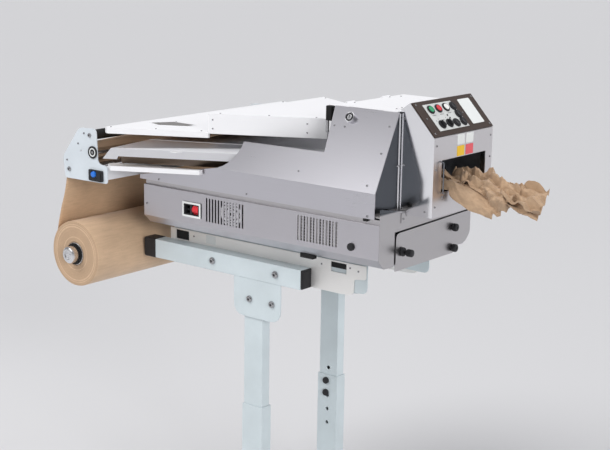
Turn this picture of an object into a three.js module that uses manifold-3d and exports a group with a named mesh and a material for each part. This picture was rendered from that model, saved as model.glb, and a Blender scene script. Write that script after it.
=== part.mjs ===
// Crumpled-paper cushioning converter on a height-adjustable stand.
// Millimetres, +Z up, +X towards the paper exit, +Y towards the plain side.
// The model is drawn around the lower edge of the casing's front end and then
// lifted so that the levelling feet stand on Z = 0, under the middle of the object.
import * as THREE from 'three';
import { mergeVertices } from 'three/addons/utils/BufferGeometryUtils.js';
import Module from 'manifold-3d';

const wasm = await Module();
wasm.setup();

// ---------------------------------------------------------------- driving dimensions
const WORKING_HEIGHT = 900;      // floor to the casing's lower side edge
const ORIGIN_SHIFT_X = 340;      // puts the origin under the middle of the bounding box
const GAP = 0.3;                 // clearance between pieces that rest on each other
const SHEET = 2;                 // sheet-metal thickness

const CASING = { rear: -755, near: -228.5, far: 162, sideTop: 82.5, chamfer: 22.5 };
const COVER = { rear: -769, front: -15, bottom: 95, fold: 155, top: 332, roofHalf: 140, roofRear: -195 };
const HOOD = { half: 128.5, rear: -21, front: 75, bottom: 94.5, faceTop: 280, apexX: 5.5, apexZ: 355 };
const EXIT = { near: -94, far: 99, bottom: 151, top: 226 };
const DOOR = { near: -164, far: 162, bottom: -36, top: 54, thickness: 3 };

const CHUTE = { frontX: -256, frontHalf: 96, midX: -523, midHalf: 234, rearX: -770, lip: 172, edge: 192, floor: 212 };
const CHUTE_TOP = { frontZ: 290, bottom: 240, rearZ: 244 };
const INFEED = { half: 341, plate: 3, rear: -940, front: -808 };
const ROLL = { x: -902, z: -110, radius: 88, half: 341, coreRadius: 32, boreRadius: 29 };
const SPINDLE_RADIUS = 16;

const GEAR = { x: -110, pathZ: 185, pitch: 42, teeth: 12, root: 36.5, tip: 46, halfWidth: 34, shaft: 9 };
const FRAME = { half: 121, plate: 4, rear: -205, front: 60, bottom: 92 };

const RAIL = { half: 160, height: 50, depth: 40, rear: -801, front: -266, top: -77 };
const LEG = { x: -421, innerWide: 60, innerDeep: 30, outerWide: 66, outerDeep: 36, stepZ: -465, bottomZ: -680 };
const HOLE = { radius: 5.5, pitch: 40, count: 6 };
const FLOOR_RAIL = { rear: -790, front: -36, bottom: -862, height: 50 };
const FOOT = { radius: 26, stem: 6 };

// ---------------------------------------------------------------- materials
const material = (color, roughness, metalness) =>
  new THREE.MeshStandardMaterial({ color, roughness, metalness });

const STEEL = material(0xb9b8c2, 0.34, 0.9);
const WHITE_STEEL = material(0xe4e5e9, 0.3, 0.75);
const INNER_STEEL = material(0x8f9196, 0.5, 0.8);
const PAINT = material(0xbfccd3, 0.55, 0.1);
const CREAM = material(0xd3cdc4, 0.45, 0.6);
const KRAFT = material(0xb99468, 0.85, 0);
const BLACK = material(0x1b1a1c, 0.5, 0.05);
const BEZEL = material(0x3f3733, 0.5, 0.2);
const LABEL = material(0xc9cbc9, 0.5, 0);
const GREEN = material(0x0f8f4e, 0.3, 0);
const RED = material(0xd8202a, 0.3, 0);
const WHITE = material(0xe8e8e6, 0.3, 0);
const BLUE = material(0x1d62d0, 0.3, 0);
const CHROME = material(0xd8d9dc, 0.15, 1);

// ---------------------------------------------------------------- solids
const AXES = {
  xz: [new THREE.Vector3(1, 0, 0), new THREE.Vector3(0, 0, 1), new THREE.Vector3(0, -1, 0)],
  yz: [new THREE.Vector3(0, 1, 0), new THREE.Vector3(0, 0, 1), new THREE.Vector3(1, 0, 0)],
  xy: [new THREE.Vector3(1, 0, 0), new THREE.Vector3(0, 1, 0), new THREE.Vector3(0, 0, 1)],
};

// Outline drawn in a plane and extruded along the plane's normal from `from` to `to`.
function prism(plane, outline, from, to) {
  const shape = outline instanceof THREE.Shape
    ? outline : new THREE.Shape(outline.map(([u, v]) => new THREE.Vector2(u, v)));
  const depth = Math.abs(to - from);
  const geometry = new THREE.ExtrudeGeometry(shape, { depth, bevelEnabled: false, curveSegments: 5 });
  const [u, v, w] = AXES[plane];
  geometry.applyMatrix4(new THREE.Matrix4().makeBasis(u, v, w));
  const start = plane === 'xz' ? Math.max(from, to) : Math.min(from, to);
  const shift = plane === 'xz' ? [0, start, 0] : plane === 'yz' ? [start, 0, 0] : [0, 0, start];
  return geometry.translate(...shift);
}

const box = (x0, x1, y0, y1, z0, z1) =>
  new THREE.BoxGeometry(x1 - x0, y1 - y0, z1 - z0).translate((x0 + x1) / 2, (y0 + y1) / 2, (z0 + z1) / 2);

// Round bar along X, Y or Z, centred on `centre`.
function bar(axis, centre, radius, length, sides = 24) {
  const geometry = new THREE.CylinderGeometry(radius, radius, length, sides);
  if (axis === 'x') geometry.rotateZ(-Math.PI / 2);
  if (axis === 'z') geometry.rotateX(Math.PI / 2);
  return geometry.translate(...centre);
}

// Turned piece: profile of [radius, height] pairs, closed on the axis, standing along Z.
const turned = (profile, sides = 24) =>
  new THREE.LatheGeometry(profile.map(([r, h]) => new THREE.Vector2(r, h)), sides).rotateX(Math.PI / 2);

// Outline with every listed corner rounded: points are [x, y, radius].
function roundedOutline(points) {
  const path = [];
  const count = points.length;
  points.forEach(([x, y, r = 0], i) => {
    const here = new THREE.Vector2(x, y);
    if (r === 0) return path.push(here);
    const before = new THREE.Vector2(...points[(i + count - 1) % count].slice(0, 2));
    const after = new THREE.Vector2(...points[(i + 1) % count].slice(0, 2));
    const start = here.clone().add(before.sub(here).setLength(r));
    const end = here.clone().add(after.sub(here).setLength(r));
    path.push(...new THREE.QuadraticBezierCurve(start, here, end).getPoints(4));
  });
  return new THREE.Shape(path);
}

// Flat plate between four corners of its top face, dropped by its thickness.
function slab(corners, thickness) {
  const top = corners.map((c) => new THREE.Vector3(...c));
  const normal = top[1].clone().sub(top[0]).cross(top[3].clone().sub(top[0])).normalize();
  const bottom = top.map((c) => c.clone().addScaledVector(normal, -thickness));
  const positions = [...top, ...bottom].flatMap((p) => p.toArray());
  const faces = [[0, 1, 2, 3], [7, 6, 5, 4], [0, 4, 5, 1], [1, 5, 6, 2], [2, 6, 7, 3], [3, 7, 4, 0]];
  const geometry = new THREE.BufferGeometry();
  geometry.setAttribute('position', new THREE.Float32BufferAttribute(positions, 3));
  geometry.setIndex(faces.flatMap(([a, b, c, d]) => [a, b, c, a, c, d]));
  return geometry;
}

function toManifold(geometry) {
  const bare = geometry.clone();
  bare.deleteAttribute('normal');
  bare.deleteAttribute('uv');
  const merged = mergeVertices(bare, 1e-4);
  return new wasm.Manifold(new wasm.Mesh({
    numProp: 3,
    vertProperties: new Float32Array(merged.attributes.position.array),
    triVerts: new Uint32Array(merged.index.array),
  }));
}

function toGeometry(manifold) {
  const mesh = manifold.getMesh();
  const geometry = new THREE.BufferGeometry();
  geometry.setAttribute('position', new THREE.Float32BufferAttribute(mesh.vertProperties, 3));
  geometry.setIndex(new THREE.Uint32BufferAttribute(mesh.triVerts, 1));
  geometry.computeVertexNormals();
  return geometry;
}

const joined = (...geometries) =>
  toGeometry(geometries.map(toManifold).reduce((all, one) => all.add(one)));

const cut = (geometry, ...tools) =>
  toGeometry(tools.map(toManifold).reduce((all, tool) => all.subtract(tool), toManifold(geometry)));

// ---------------------------------------------------------------- assembly groups
const object = new THREE.Group();
const machine = new THREE.Group();
machine.position.set(ORIGIN_SHIFT_X, 0, WORKING_HEIGHT);
object.add(machine);

function piece(name, geometry, look, parent = machine) {
  const mesh = new THREE.Mesh(geometry, look);
  mesh.name = name;
  parent.add(mesh);
  return mesh;
}

const SIDES = [['near', -1], ['far', 1]];

// ---------------------------------------------------------------- stand: base
function rectTube(x0, x1, y0, y1, z0, z1, wall) {
  return cut(box(x0, x1, y0, y1, z0, z1), box(x0 + wall, x1 - wall, y0 + wall, y1 - wall, z0 - 1, z1 + 1));
}

const floorRailTop = FLOOR_RAIL.bottom + FLOOR_RAIL.height;
const boltHoleZ = LEG.stepZ - 20;

for (const [side, sign] of SIDES) {
  const y = sign * RAIL.half;
  piece(`floor_rail_${side}`,
    box(FLOOR_RAIL.rear, FLOOR_RAIL.front, y - RAIL.depth / 2, y + RAIL.depth / 2, FLOOR_RAIL.bottom, floorRailTop),
    PAINT);

  const outer = rectTube(LEG.x - LEG.outerWide / 2, LEG.x + LEG.outerWide / 2,
    y - LEG.outerDeep / 2, y + LEG.outerDeep / 2, floorRailTop + GAP, LEG.stepZ, 2.6);
  const outerHoles = [1, 2, 3].map((i) =>
    bar('y', [LEG.x, y - sign * LEG.outerDeep / 2, boltHoleZ - i * HOLE.pitch], HOLE.radius, 20, 12));
  piece(`outer_leg_${side}`, cut(outer, ...outerHoles), PAINT);

  for (const [end, x] of [['rear', FLOOR_RAIL.rear + 40], ['front', FLOOR_RAIL.front - 40]]) {
    const foot = turned([[0, 0], [FOOT.radius, 0], [FOOT.radius, 8], [FOOT.radius - 8, 14], [FOOT.stem + 3, 18],
      [FOOT.stem + 3, 26], [FOOT.stem, 27], [FOOT.stem, WORKING_HEIGHT + FLOOR_RAIL.bottom - GAP],
      [0, WORKING_HEIGHT + FLOOR_RAIL.bottom - GAP]]);
    piece(`levelling_foot_${side}_${end}`, foot, BLACK).position.set(x, y, -WORKING_HEIGHT);
  }
}

const railInner = RAIL.half - RAIL.depth / 2;
piece('floor_cross_beam',
  box(LEG.x - 25, LEG.x + 25, -railInner + GAP, railInner - GAP, FLOOR_RAIL.bottom + 4, floorRailTop - 6), PAINT);

// ---------------------------------------------------------------- stand: lifting top
const railBottom = RAIL.top - RAIL.height;
const LEG_PLATE = { rear: -484, front: -329, bottom: -228, thickness: 4 };
const CRADLE = { rear: -745, front: -98, top: -46.5, thickness: 3 };

for (const [side, sign] of SIDES) {
  const y = sign * RAIL.half;
  const outward = (a, b) => (sign < 0 ? [y - b, y - a] : [y + a, y + b]);

  const legHoles = Array.from({ length: HOLE.count }, (_, i) =>
    bar('y', [LEG.x, y - sign * LEG.innerDeep / 2, boltHoleZ + (1 - i) * HOLE.pitch], HOLE.radius, 20, 12));
  const inner = rectTube(LEG.x - LEG.innerWide / 2, LEG.x + LEG.innerWide / 2,
    y - LEG.innerDeep / 2, y + LEG.innerDeep / 2, LEG.bottomZ, railBottom - GAP, 2.5);
  piece(`inner_leg_${side}`, cut(inner, ...legHoles), PAINT);

  // Square cradle tube with the rounded leg plate welded under its outer face.
  const tube = box(RAIL.rear, RAIL.front, y - RAIL.depth / 2, y + RAIL.depth / 2, railBottom, RAIL.top);
  const plateOutline = roundedOutline([
    [LEG_PLATE.rear, railBottom + 1], [LEG_PLATE.rear, LEG_PLATE.bottom, 34],
    [LEG_PLATE.front, LEG_PLATE.bottom, 34], [LEG_PLATE.front, railBottom + 1]]);
  const plateInner = LEG.innerDeep / 2 + GAP;
  const [y0, y1] = outward(plateInner, plateInner + LEG_PLATE.thickness);
  piece(`cradle_tube_${side}`, joined(tube, prism('xz', plateOutline, y0, y1)), PAINT);

  // Bright side plate of the cradle, bolted to the tube's inner face.
  const cradle = roundedOutline([
    [CRADLE.rear, CRADLE.top], [CRADLE.rear, -120, 12], [-290, -127, 4], [-168, -127, 4], [-133, -124, 14],
    [-133, -84, 6], [CRADLE.front, -80, 6], [CRADLE.front, CRADLE.top]]);
  const innerFace = sign * (railInner - GAP);
  const cradleBack = innerFace - sign * CRADLE.thickness;
  const windows = [[-203, -156], [-724, -678]].map(([x0, x1]) =>
    box(x0, x1, Math.min(innerFace, cradleBack) - 1, Math.max(innerFace, cradleBack) + 1, -75, -50));
  piece(`cradle_plate_${side}`, cut(prism('xz', cradle, innerFace, cradleBack), ...windows), CREAM);
}

// Painted saddle under the casing, between the two cradle plates.
const saddleHalf = railInner - GAP - CRADLE.thickness - GAP;
const saddleSide = roundedOutline([
  [-735, -CASING.chamfer - GAP], [-735, -112, 12], [CRADLE.front + 2, -117, 18],
  [CRADLE.front + 2, -CASING.chamfer - GAP]]);
const saddleHollow = box(-800, 0, -saddleHalf + 3, saddleHalf - 3, -200, -CASING.chamfer - 4);
piece('machine_saddle',
  cut(prism('xz', saddleSide, -saddleHalf, saddleHalf), saddleHollow), PAINT);

// ---------------------------------------------------------------- paper roll
// Arm from the far cradle tube, with the cantilevered spindle that the roll slides onto.
const armY = ROLL.half + 12;
const farTubeOuter = RAIL.half + RAIL.depth / 2;
const armRail = box(-800, -762, farTubeOuter + GAP, armY + 6, railBottom + 4, RAIL.top - 4);
const armPlate = prism('xz', roundedOutline([
  [-762, railBottom + 4, 8], [-762, RAIL.top - 4, 8], [ROLL.x - 24, ROLL.z + 30, 24], [ROLL.x - 24, ROLL.z - 30, 24]]),
  armY, armY + 6);
const spindle = bar('y', [ROLL.x, (armY - ROLL.half + 8) / 2, ROLL.z], SPINDLE_RADIUS, armY + ROLL.half + 4, 24);
const hubOut = ROLL.half + 27;
const spindleNut = bar('y', [ROLL.x, (armY + 5 + hubOut) / 2, ROLL.z], 24, hubOut - armY - 5, 6);
piece('roll_arm', joined(armRail, armPlate, spindle, spindleNut), PAINT);

const rollSpinner = new THREE.Group();
rollSpinner.position.set(ROLL.x, 0, ROLL.z);
machine.add(rollSpinner);
const ring = (outer, inner, halfLength, sides) =>
  new THREE.LatheGeometry([[inner, -halfLength], [outer, -halfLength], [outer, halfLength], [inner, halfLength],
    [inner, -halfLength]].map(([r, h]) => new THREE.Vector2(r, h)), sides);
piece('paper_roll', ring(ROLL.radius, ROLL.coreRadius, ROLL.half, 48), KRAFT, rollSpinner);
piece('roll_core', ring(ROLL.coreRadius - GAP, ROLL.boreRadius, ROLL.half, 32), CREAM, rollSpinner);

// Aluminium end hub: plugs the core and stands out of it as the turning knob.
const hubSkin = turned([[0, ROLL.half - 48], [ROLL.boreRadius - GAP, ROLL.half - 48],
  [ROLL.boreRadius - GAP, ROLL.half - 7], [20.5, ROLL.half - 5], [20.5, hubOut - 20], [22.5, hubOut - 18],
  [22.5, hubOut - 7], [21, hubOut - 3], [16, hubOut], [0, hubOut]], 32).rotateX(Math.PI / 2);
const hub = cut(hubSkin, bar('y', [0, -ROLL.half + 24, 0], SPINDLE_RADIUS + GAP, 60, 24));
piece('roll_hub', hub, CHROME, rollSpinner);

// ---------------------------------------------------------------- paper web
const GUIDE = { x: -916, z: 117, radius: 13 };
const WEB = { thickness: 1.2, half: 332, endX: -545, endZ: 226 };
function webOutline() {
  const clearance = 1.5;
  const wrap = GUIDE.radius + clearance;
  const rise = new THREE.Vector2(54, 190).normalize();
  const leave = new THREE.Vector2(ROLL.x - (ROLL.radius + clearance) * rise.y, ROLL.z + (ROLL.radius + clearance) * rise.x);
  const middle = [new THREE.Vector2(leave.x, leave.y)];
  const first = Math.PI - Math.atan2(rise.x, rise.y);
  const mouth = new THREE.Vector2(-836, 196);
  const last = Math.PI / 2 + Math.atan2(mouth.y - GUIDE.z - wrap, mouth.x - GUIDE.x);
  for (let i = 0; i <= 6; i += 1) {
    const a = first + (last - first) * i / 6;
    middle.push(new THREE.Vector2(GUIDE.x + wrap * Math.cos(a), GUIDE.z + wrap * Math.sin(a)));
  }
  middle.push(mouth, new THREE.Vector2(-740, 222), new THREE.Vector2(WEB.endX, WEB.endZ));
  const side = (offset) => middle.map((p, i) => {
    const before = middle[Math.max(i - 1, 0)];
    const after = middle[Math.min(i + 1, middle.length - 1)];
    const along = after.clone().sub(before).normalize();
    return new THREE.Vector2(p.x - along.y * offset, p.y + along.x * offset);
  });
  return new THREE.Shape([...side(0), ...side(WEB.thickness).reverse()]);
}
// Behind the rollers the web narrows with the chute.
const webWide = prism('xz', webOutline(), -WEB.half, WEB.half);
const webTrim = SIDES.map(([, sign]) => prism('xy', [
  [-800, sign * 345], [-500, sign * 345], [-500, sign * 190], [-740, sign * 300], [-800, sign * 326]], 150, 300));
piece('paper_web', cut(webWide, ...webTrim), KRAFT);

// ---------------------------------------------------------------- infeed
for (const [side, sign] of SIDES) {
  const face = sign * INFEED.half;
  const outline = roundedOutline([
    [-933, 92, 10], [INFEED.rear, 148, 10], [-876, 230, 12], [-812, 233, 14], [INFEED.front, 152, 4],
    [-803, 143, 6], [-773, 139, 8], [-773, 94, 8]]);
  const buttonHole = side === 'near' ? [bar('y', [-818, face, 115], 8.5, 20, 16)] : [];
  piece(`infeed_plate_${side}`,
    cut(prism('xz', outline, face, face - sign * INFEED.plate),
      bar('y', [-870, face, 170], 3, 20, 12), ...buttonHole), PAINT);
}
const rollerHalf = INFEED.half - INFEED.plate - GAP;
const roller = (name, x, z, radius, look) => {
  const drum = joined(bar('y', [0, 0, 0], radius, 2 * rollerHalf - 8, 20), bar('y', [0, 0, 0], 5, 2 * rollerHalf, 12));
  piece(name, drum, look).position.set(x, 0, z);
};
roller('rear_guide_roller', GUIDE.x, GUIDE.z, GUIDE.radius, CHROME);
roller('upper_guide_roller', -836, 214, 13, BLACK);
roller('lower_guide_roller', -824, 172, 9, CHROME);

// Cross tray that ties the two end plates together and carries the chute's rails.
const trayFlat = box(-820, -776, -rollerHalf, rollerHalf, 104, 107);
const trayLip = box(-779, -776, -rollerHalf, rollerHalf, 104, 140);
// Half-width of the chute at any X, on the same straight taper from end to end.
const taper = (CHUTE.midHalf - CHUTE.frontHalf) / (CHUTE.frontX - CHUTE.midX);
const halfAt = (x) => CHUTE.frontHalf + taper * (CHUTE.frontX - x);
const trayArms = SIDES.map(([, sign]) => prism('xy', [
  [-779, sign * 332], [-750, sign * halfAt(-750)], [-543, sign * halfAt(-543)],
  [-543, sign * (halfAt(-543) - 12)], [-779, sign * 314]], 134, 146));
piece('infeed_cross_tray', joined(trayFlat, trayLip, ...trayArms), WHITE_STEEL);

// ---------------------------------------------------------------- converging chute
function chuteFloor() {
  const rear = -748;
  const front = CHUTE.frontX;
  const inset = 46;
  const parts = [slab([
    [rear + 60, -halfAt(rear + 60) + inset, CHUTE.floor], [front, -CHUTE.frontHalf + 20, CHUTE.floor],
    [front, CHUTE.frontHalf - 20, CHUTE.floor], [rear + 60, halfAt(rear + 60) - inset, CHUTE.floor]], SHEET)];
  // nose plate that leads the folded paper down into the gears
  parts.push(slab([
    [front - 1, -CHUTE.frontHalf + 20, CHUTE.floor], [-172, -46, GEAR.pathZ - 22],
    [-172, 46, GEAR.pathZ - 22], [front - 1, CHUTE.frontHalf - 20, CHUTE.floor]], SHEET));
  for (const [, sign] of SIDES) {
    const flip = (points) => (sign < 0 ? points : points.slice().reverse());
    const edge = (x, in_, z) => [x, sign * (halfAt(x) - in_), z];
    parts.push(slab(flip([
      edge(rear, 0, CHUTE.edge), edge(front, 0, CHUTE.edge),
      edge(front, 22, CHUTE.floor), edge(rear + 60, inset + 2, CHUTE.floor)]), SHEET));
    // hanging lip with a raked rear end, and the face that turns in under it
    parts.push(slab(flip([
      edge(rear, 0, CHUTE.edge), edge(rear - 20, 0, CHUTE.lip - 8),
      edge(rear + 14, 0, CHUTE.lip - 8), edge(rear + 24, 0, CHUTE.edge)]), SHEET));
    parts.push(slab(flip([
      edge(rear + 16, 0, CHUTE.edge), edge(rear + 16, 0, CHUTE.lip),
      edge(front, 0, CHUTE.lip), edge(front, 0, CHUTE.edge)]), SHEET));
    parts.push(slab(flip([
      edge(rear + 22, 0.5, CHUTE.lip + 1), edge(rear + 2, 34, CHUTE.lip - 22),
      edge(front - 60, 34, CHUTE.lip - 22), edge(front - 60, 0.5, CHUTE.lip + 1)]), SHEET));
  }
  // cross plate that stands on the deck and carries the floor
  parts.push(box(-560, -557, -120, 120, 88 + GAP, CHUTE.floor - 1));
  return joined(...parts);
}
piece('chute_floor', chuteFloor(), WHITE_STEEL);

function chuteTop() {
  const { frontX, frontHalf, midX, midHalf, rearX } = CHUTE;
  const plan = (x0, x1, inset) => [
    [x0, -halfAt(x0) + inset], [x1, -halfAt(x1) + inset], [x1, halfAt(x1) - inset], [x0, halfAt(x0) - inset]];
  const raised = cut(prism('xy', plan(midX, frontX, 0), CHUTE_TOP.bottom, CHUTE_TOP.frontZ),
    prism('xy', plan(midX + SHEET, frontX + 1, SHEET), CHUTE_TOP.bottom - 1, CHUTE_TOP.frontZ - SHEET));
  const cornerCut = 14;
  const rearHalf = halfAt(rearX);
  const rearPlan = [
    [rearX, -rearHalf + cornerCut], [rearX + cornerCut, -halfAt(rearX + cornerCut)], [midX + 1, -midHalf],
    [midX + 1, midHalf], [rearX + cornerCut, halfAt(rearX + cornerCut)], [rearX, rearHalf - cornerCut]];
  const lowerPlan = rearPlan.map(([x, y]) => [x + (x < midX ? SHEET : -10), y - Math.sign(y) * SHEET]);
  const rear = cut(prism('xy', rearPlan, CHUTE_TOP.bottom - 11, CHUTE_TOP.rearZ),
    prism('xy', lowerPlan, CHUTE_TOP.bottom - 12, CHUTE_TOP.rearZ - SHEET),
    box(midX - 14, midX + 10, -midHalf + 6, midHalf - 6, 200, CHUTE_TOP.rearZ - SHEET));
  const throat = box(midX - 5, midX + 5, -midHalf + 20, midHalf - 20, CHUTE_TOP.bottom - 12, CHUTE_TOP.rearZ - SHEET);
  return cut(joined(raised, rear), throat);
}
piece('chute_top', chuteTop(), WHITE_STEEL);

// ---------------------------------------------------------------- casing
const { near: casingNear, far: casingFar, chamfer } = CASING;
const SLOT = { wide: 4.6, bottom: 14, top: 74, count: 13 };
const SLOT_BLOCKS = [{ first: -535, pitch: 10 }, { first: -239, pitch: 9.5 }];

function sidePanelNear() {
  const flange = 7.5;
  const profile = [
    [casingNear + flange, CASING.sideTop], [casingNear, CASING.sideTop], [casingNear, 0], [casingNear + chamfer, -chamfer],
    [casingNear + chamfer + 12, -chamfer], [casingNear + chamfer + 12, -chamfer + SHEET],
    [casingNear + chamfer + 1, -chamfer + SHEET], [casingNear + SHEET, 0.8],
    [casingNear + SHEET, CASING.sideTop - SHEET], [casingNear + flange, CASING.sideTop - SHEET]];
  const slots = [];
  for (const { first, pitch } of SLOT_BLOCKS) {
    for (let i = 0; i < SLOT.count; i += 1) {
      const x = first + i * pitch;
      slots.push(box(x, x + SLOT.wide, casingNear - 1, casingNear + 3, SLOT.bottom, SLOT.top));
    }
  }
  const inletHole = box(-609, -557, casingNear - 1, casingNear + 3, 22, 52);
  return cut(prism('yz', profile, CASING.rear, -GAP), ...slots, inletHole);
}
piece('side_panel_near', sidePanelNear(), STEEL);

const farProfile = [
  [casingFar, CASING.sideTop], [casingFar - SHEET, CASING.sideTop], [casingFar - SHEET, 0.8],
  [casingFar - chamfer - 1, -chamfer + SHEET], [casingFar - chamfer - 12, -chamfer + SHEET],
  [casingFar - chamfer - 12, -chamfer], [casingFar - chamfer, -chamfer], [casingFar, 0]];
piece('side_panel_far', prism('yz', farProfile, CASING.rear, -2), STEEL);

// Inner chassis: bottom pan, rear wall, two cross walls and the deck that carries the mechanism.
const panNear = casingNear + chamfer + 12 + GAP;
const panFar = casingFar - chamfer - 12 - GAP;
const deckNear = casingNear + 8;
const deckFar = casingFar - 6;
const chassisParts = [
  box(CASING.rear, -4, panNear, panFar, -chamfer, -chamfer + SHEET),
  box(CASING.rear, CASING.rear + SHEET, panNear, panFar, -chamfer, 88),
  box(-400, -398, panNear, panFar, -chamfer, 88),
  box(-40, -38, panNear, panFar, -chamfer, 88),
  box(CASING.rear, -20, deckNear, deckFar, 86, 88),
  box(CASING.rear, -20, deckNear, deckNear + SHEET, 86, COVER.bottom - 3),
  box(CASING.rear, -20, deckFar - SHEET, deckFar, 86, COVER.bottom - 3),
];
piece('inner_chassis', joined(...chassisParts), INNER_STEEL);

// Front plate around the access door.
const frontOutline = [
  [casingNear, -3], [casingNear + 19, -chamfer], [DOOR.near - 5, -chamfer], [DOOR.near - 5, 58], [casingFar, 64],
  [casingFar, 82], [HOOD.half, 92], [-HOOD.half - 2, 92], [-HOOD.half - 2, 103], [casingNear, 112]];
const wallOutline = [
  [casingNear + 3, COVER.bottom + 4], [-HOOD.half - GAP, COVER.bottom + 4], [-HOOD.half - GAP, COVER.top - 4],
  [-COVER.roofHalf + 1, COVER.top - 4], [casingNear + 3, COVER.fold + 1]];
const wall = prism('yz', wallOutline, -21, -19);
const ledge = box(-21, SHEET, casingNear + 3, -HOOD.half - GAP, COVER.bottom + 4, COVER.bottom + 6);
piece('front_plate', joined(prism('yz', frontOutline, 0, SHEET), ledge, wall), STEEL);

const doorOutline = roundedOutline([
  [DOOR.near, DOOR.bottom], [87, DOOR.bottom, 6], [104, -20, 8], [142, -17, 10], [DOOR.far, 4, 8], [DOOR.far, 61],
  [DOOR.near, DOOR.top, 14]]);
const plungerY = -140;
const plungerZ = 8;
piece('front_door', cut(prism('yz', doorOutline, 0, DOOR.thickness),
  bar('x', [0, plungerY, plungerZ], 5.5, 20, 16)), STEEL);

// ---------------------------------------------------------------- upper covers
// Bent side cover: vertical skirt and a face that leans in to the roof.
function sideCover(points, sign) {
  const shell = prism('yz', points, COVER.rear, COVER.front);
  const sweep = sign < 0 ? -440 : -315;
  const behind = new THREE.Shape();
  behind.moveTo(COVER.rear - 1, COVER.bottom + 11);
  behind.lineTo(sweep - 57, COVER.fold + 1.5);
  behind.quadraticCurveTo(sweep - 15, 170, sweep - 1, 212);
  behind.lineTo(sweep, 225);
  behind.lineTo(-190, 227);
  behind.lineTo(-200, COVER.top + 5);
  behind.lineTo(COVER.rear - 1, COVER.top + 5);
  const outer = sign < 0 ? [-300, -100] : [100, 300];
  return cut(shell, prism('xz', behind, ...outer));
}
const nearFace = [
  [casingNear, COVER.bottom], [casingNear + SHEET, COVER.bottom], [casingNear + SHEET, COVER.fold - 0.5],
  [-COVER.roofHalf + SHEET, COVER.top - 0.5], [-COVER.roofHalf, COVER.top], [casingNear, COVER.fold]];
const lockPlace = { x: -142, z: 308 };
const leanAngle = Math.atan2(casingNear * -1 - COVER.roofHalf, COVER.top - COVER.fold);
const lockY = -COVER.roofHalf - (COVER.top - lockPlace.z) * Math.tan(leanAngle);
const lockBore = bar('y', [0, 0, 0], 9, 24, 20).rotateX(-leanAngle).translate(lockPlace.x, lockY, lockPlace.z);
piece('side_cover_near', cut(sideCover(nearFace, -1), lockBore), STEEL);

const farFace = [
  [casingFar, COVER.bottom], [COVER.roofHalf, COVER.top], [COVER.roofHalf - SHEET, COVER.top - 0.5],
  [casingFar - SHEET, COVER.bottom]];
piece('side_cover_far', sideCover(farFace, 1), STEEL);

// Roof lid, hinged along its rear edge.
const ROOF_HINGE = { x: COVER.roofRear - 4, z: COVER.top - 1 };
const lidPlate = box(COVER.roofRear, HOOD.rear - GAP, -COVER.roofHalf + 1, COVER.roofHalf - 1,
  COVER.top + GAP, COVER.top + GAP + SHEET);
const lidKnuckles = [-81, 66].map((y) => joined(
  bar('y', [ROOF_HINGE.x, y, ROOF_HINGE.z + 2], 4, 32, 14),
  box(ROOF_HINGE.x, COVER.roofRear + 2, y - 16, y + 16, COVER.top + GAP, COVER.top + GAP + SHEET)));
piece('roof_lid', joined(lidPlate, ...lidKnuckles), WHITE_STEEL);

// Quarter-turn lock in the leaning face, with its cam inside the cover.
const lockGroup = new THREE.Group();
lockGroup.position.set(lockPlace.x, lockY, lockPlace.z);
lockGroup.rotation.x = -leanAngle;
machine.add(lockGroup);
const lockBody = joined(
  bar('y', [0, -4.3, 0], 13, 8, 24),
  bar('y', [0, 6, 0], 8.6, 24, 20),
  box(-5, 24, 14, 17, -5, 5));
piece('lid_lock', cut(lockBody, box(-7, 7, -9, -6, -1.2, 1.2)), CHROME, lockGroup);

// ---------------------------------------------------------------- mechanism
// Two side plates tied by cross bars; they hold the gear shafts and guide the cutter.
function mechanismFrame() {
  const { half, plate, rear, front, bottom } = FRAME;
  const outline = [
    [rear, bottom], [-24, bottom], [-24, HOOD.bottom + 4], [front, HOOD.bottom + 4], [front, 262], [8, 318],
    [-30, 322], [rear, 322]];
  const plates = SIDES.map(([, sign]) => prism('xz', outline, sign * half, sign * (half + plate)));
  const bars = [
    box(rear, rear + 8, -half - 1, half + 1, 300, 322),
    box(rear, -30, -half - 1, half + 1, bottom, bottom + 4),
    box(-40, -30, -half - 1, half + 1, 296, 312),
  ];
  const bearings = [-1, 1].map((up) => bar('y', [GEAR.x, 0, GEAR.pathZ + up * GEAR.pitch], GEAR.shaft + GAP, 300, 20));
  return cut(joined(...plates, ...bars), ...bearings);
}
piece('mechanism_frame', mechanismFrame(), INNER_STEEL);

// Coarse crumpling gear with its shaft through the frame plates.
function crumplingGear(phase, shaftFrom, shaftTo) {
  const { teeth, root, tip, halfWidth, shaft } = GEAR;
  const outline = [];
  const step = 2 * Math.PI / teeth;
  for (let i = 0; i < teeth; i += 1) {
    for (const [turn, r] of [[-0.15, root], [-0.055, tip], [0.055, tip], [0.15, root]]) {
      const a = (i + phase + turn) * step;
      outline.push([r * Math.cos(a), r * Math.sin(a)]);
    }
  }
  const wheel = prism('xz', outline, -halfWidth, halfWidth);
  return joined(wheel, bar('y', [0, (shaftFrom + shaftTo) / 2, 0], shaft, shaftTo - shaftFrom, 20));
}
const shaftReach = FRAME.half + FRAME.plate + 3;
piece('drive_gear', crumplingGear(0.25, -shaftReach, shaftReach), CHROME)
  .position.set(GEAR.x, 0, GEAR.pathZ - GEAR.pitch);
piece('idler_gear', crumplingGear(0.25, -shaftReach, shaftReach), CHROME)
  .position.set(GEAR.x, 0, GEAR.pathZ + GEAR.pitch);

// Gear motor between the near frame plate and the leaning side cover.
const motorZ = GEAR.pathZ - GEAR.pitch;
const motorFront = -shaftReach - GAP;
piece('drive_motor', joined(
  bar('y', [GEAR.x, motorFront - 38, motorZ], 36, 76, 28),
  box(GEAR.x - 30, GEAR.x + 30, motorFront - 60, motorFront - 8, FRAME.bottom - 3.7, motorZ)), BLACK);

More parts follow.
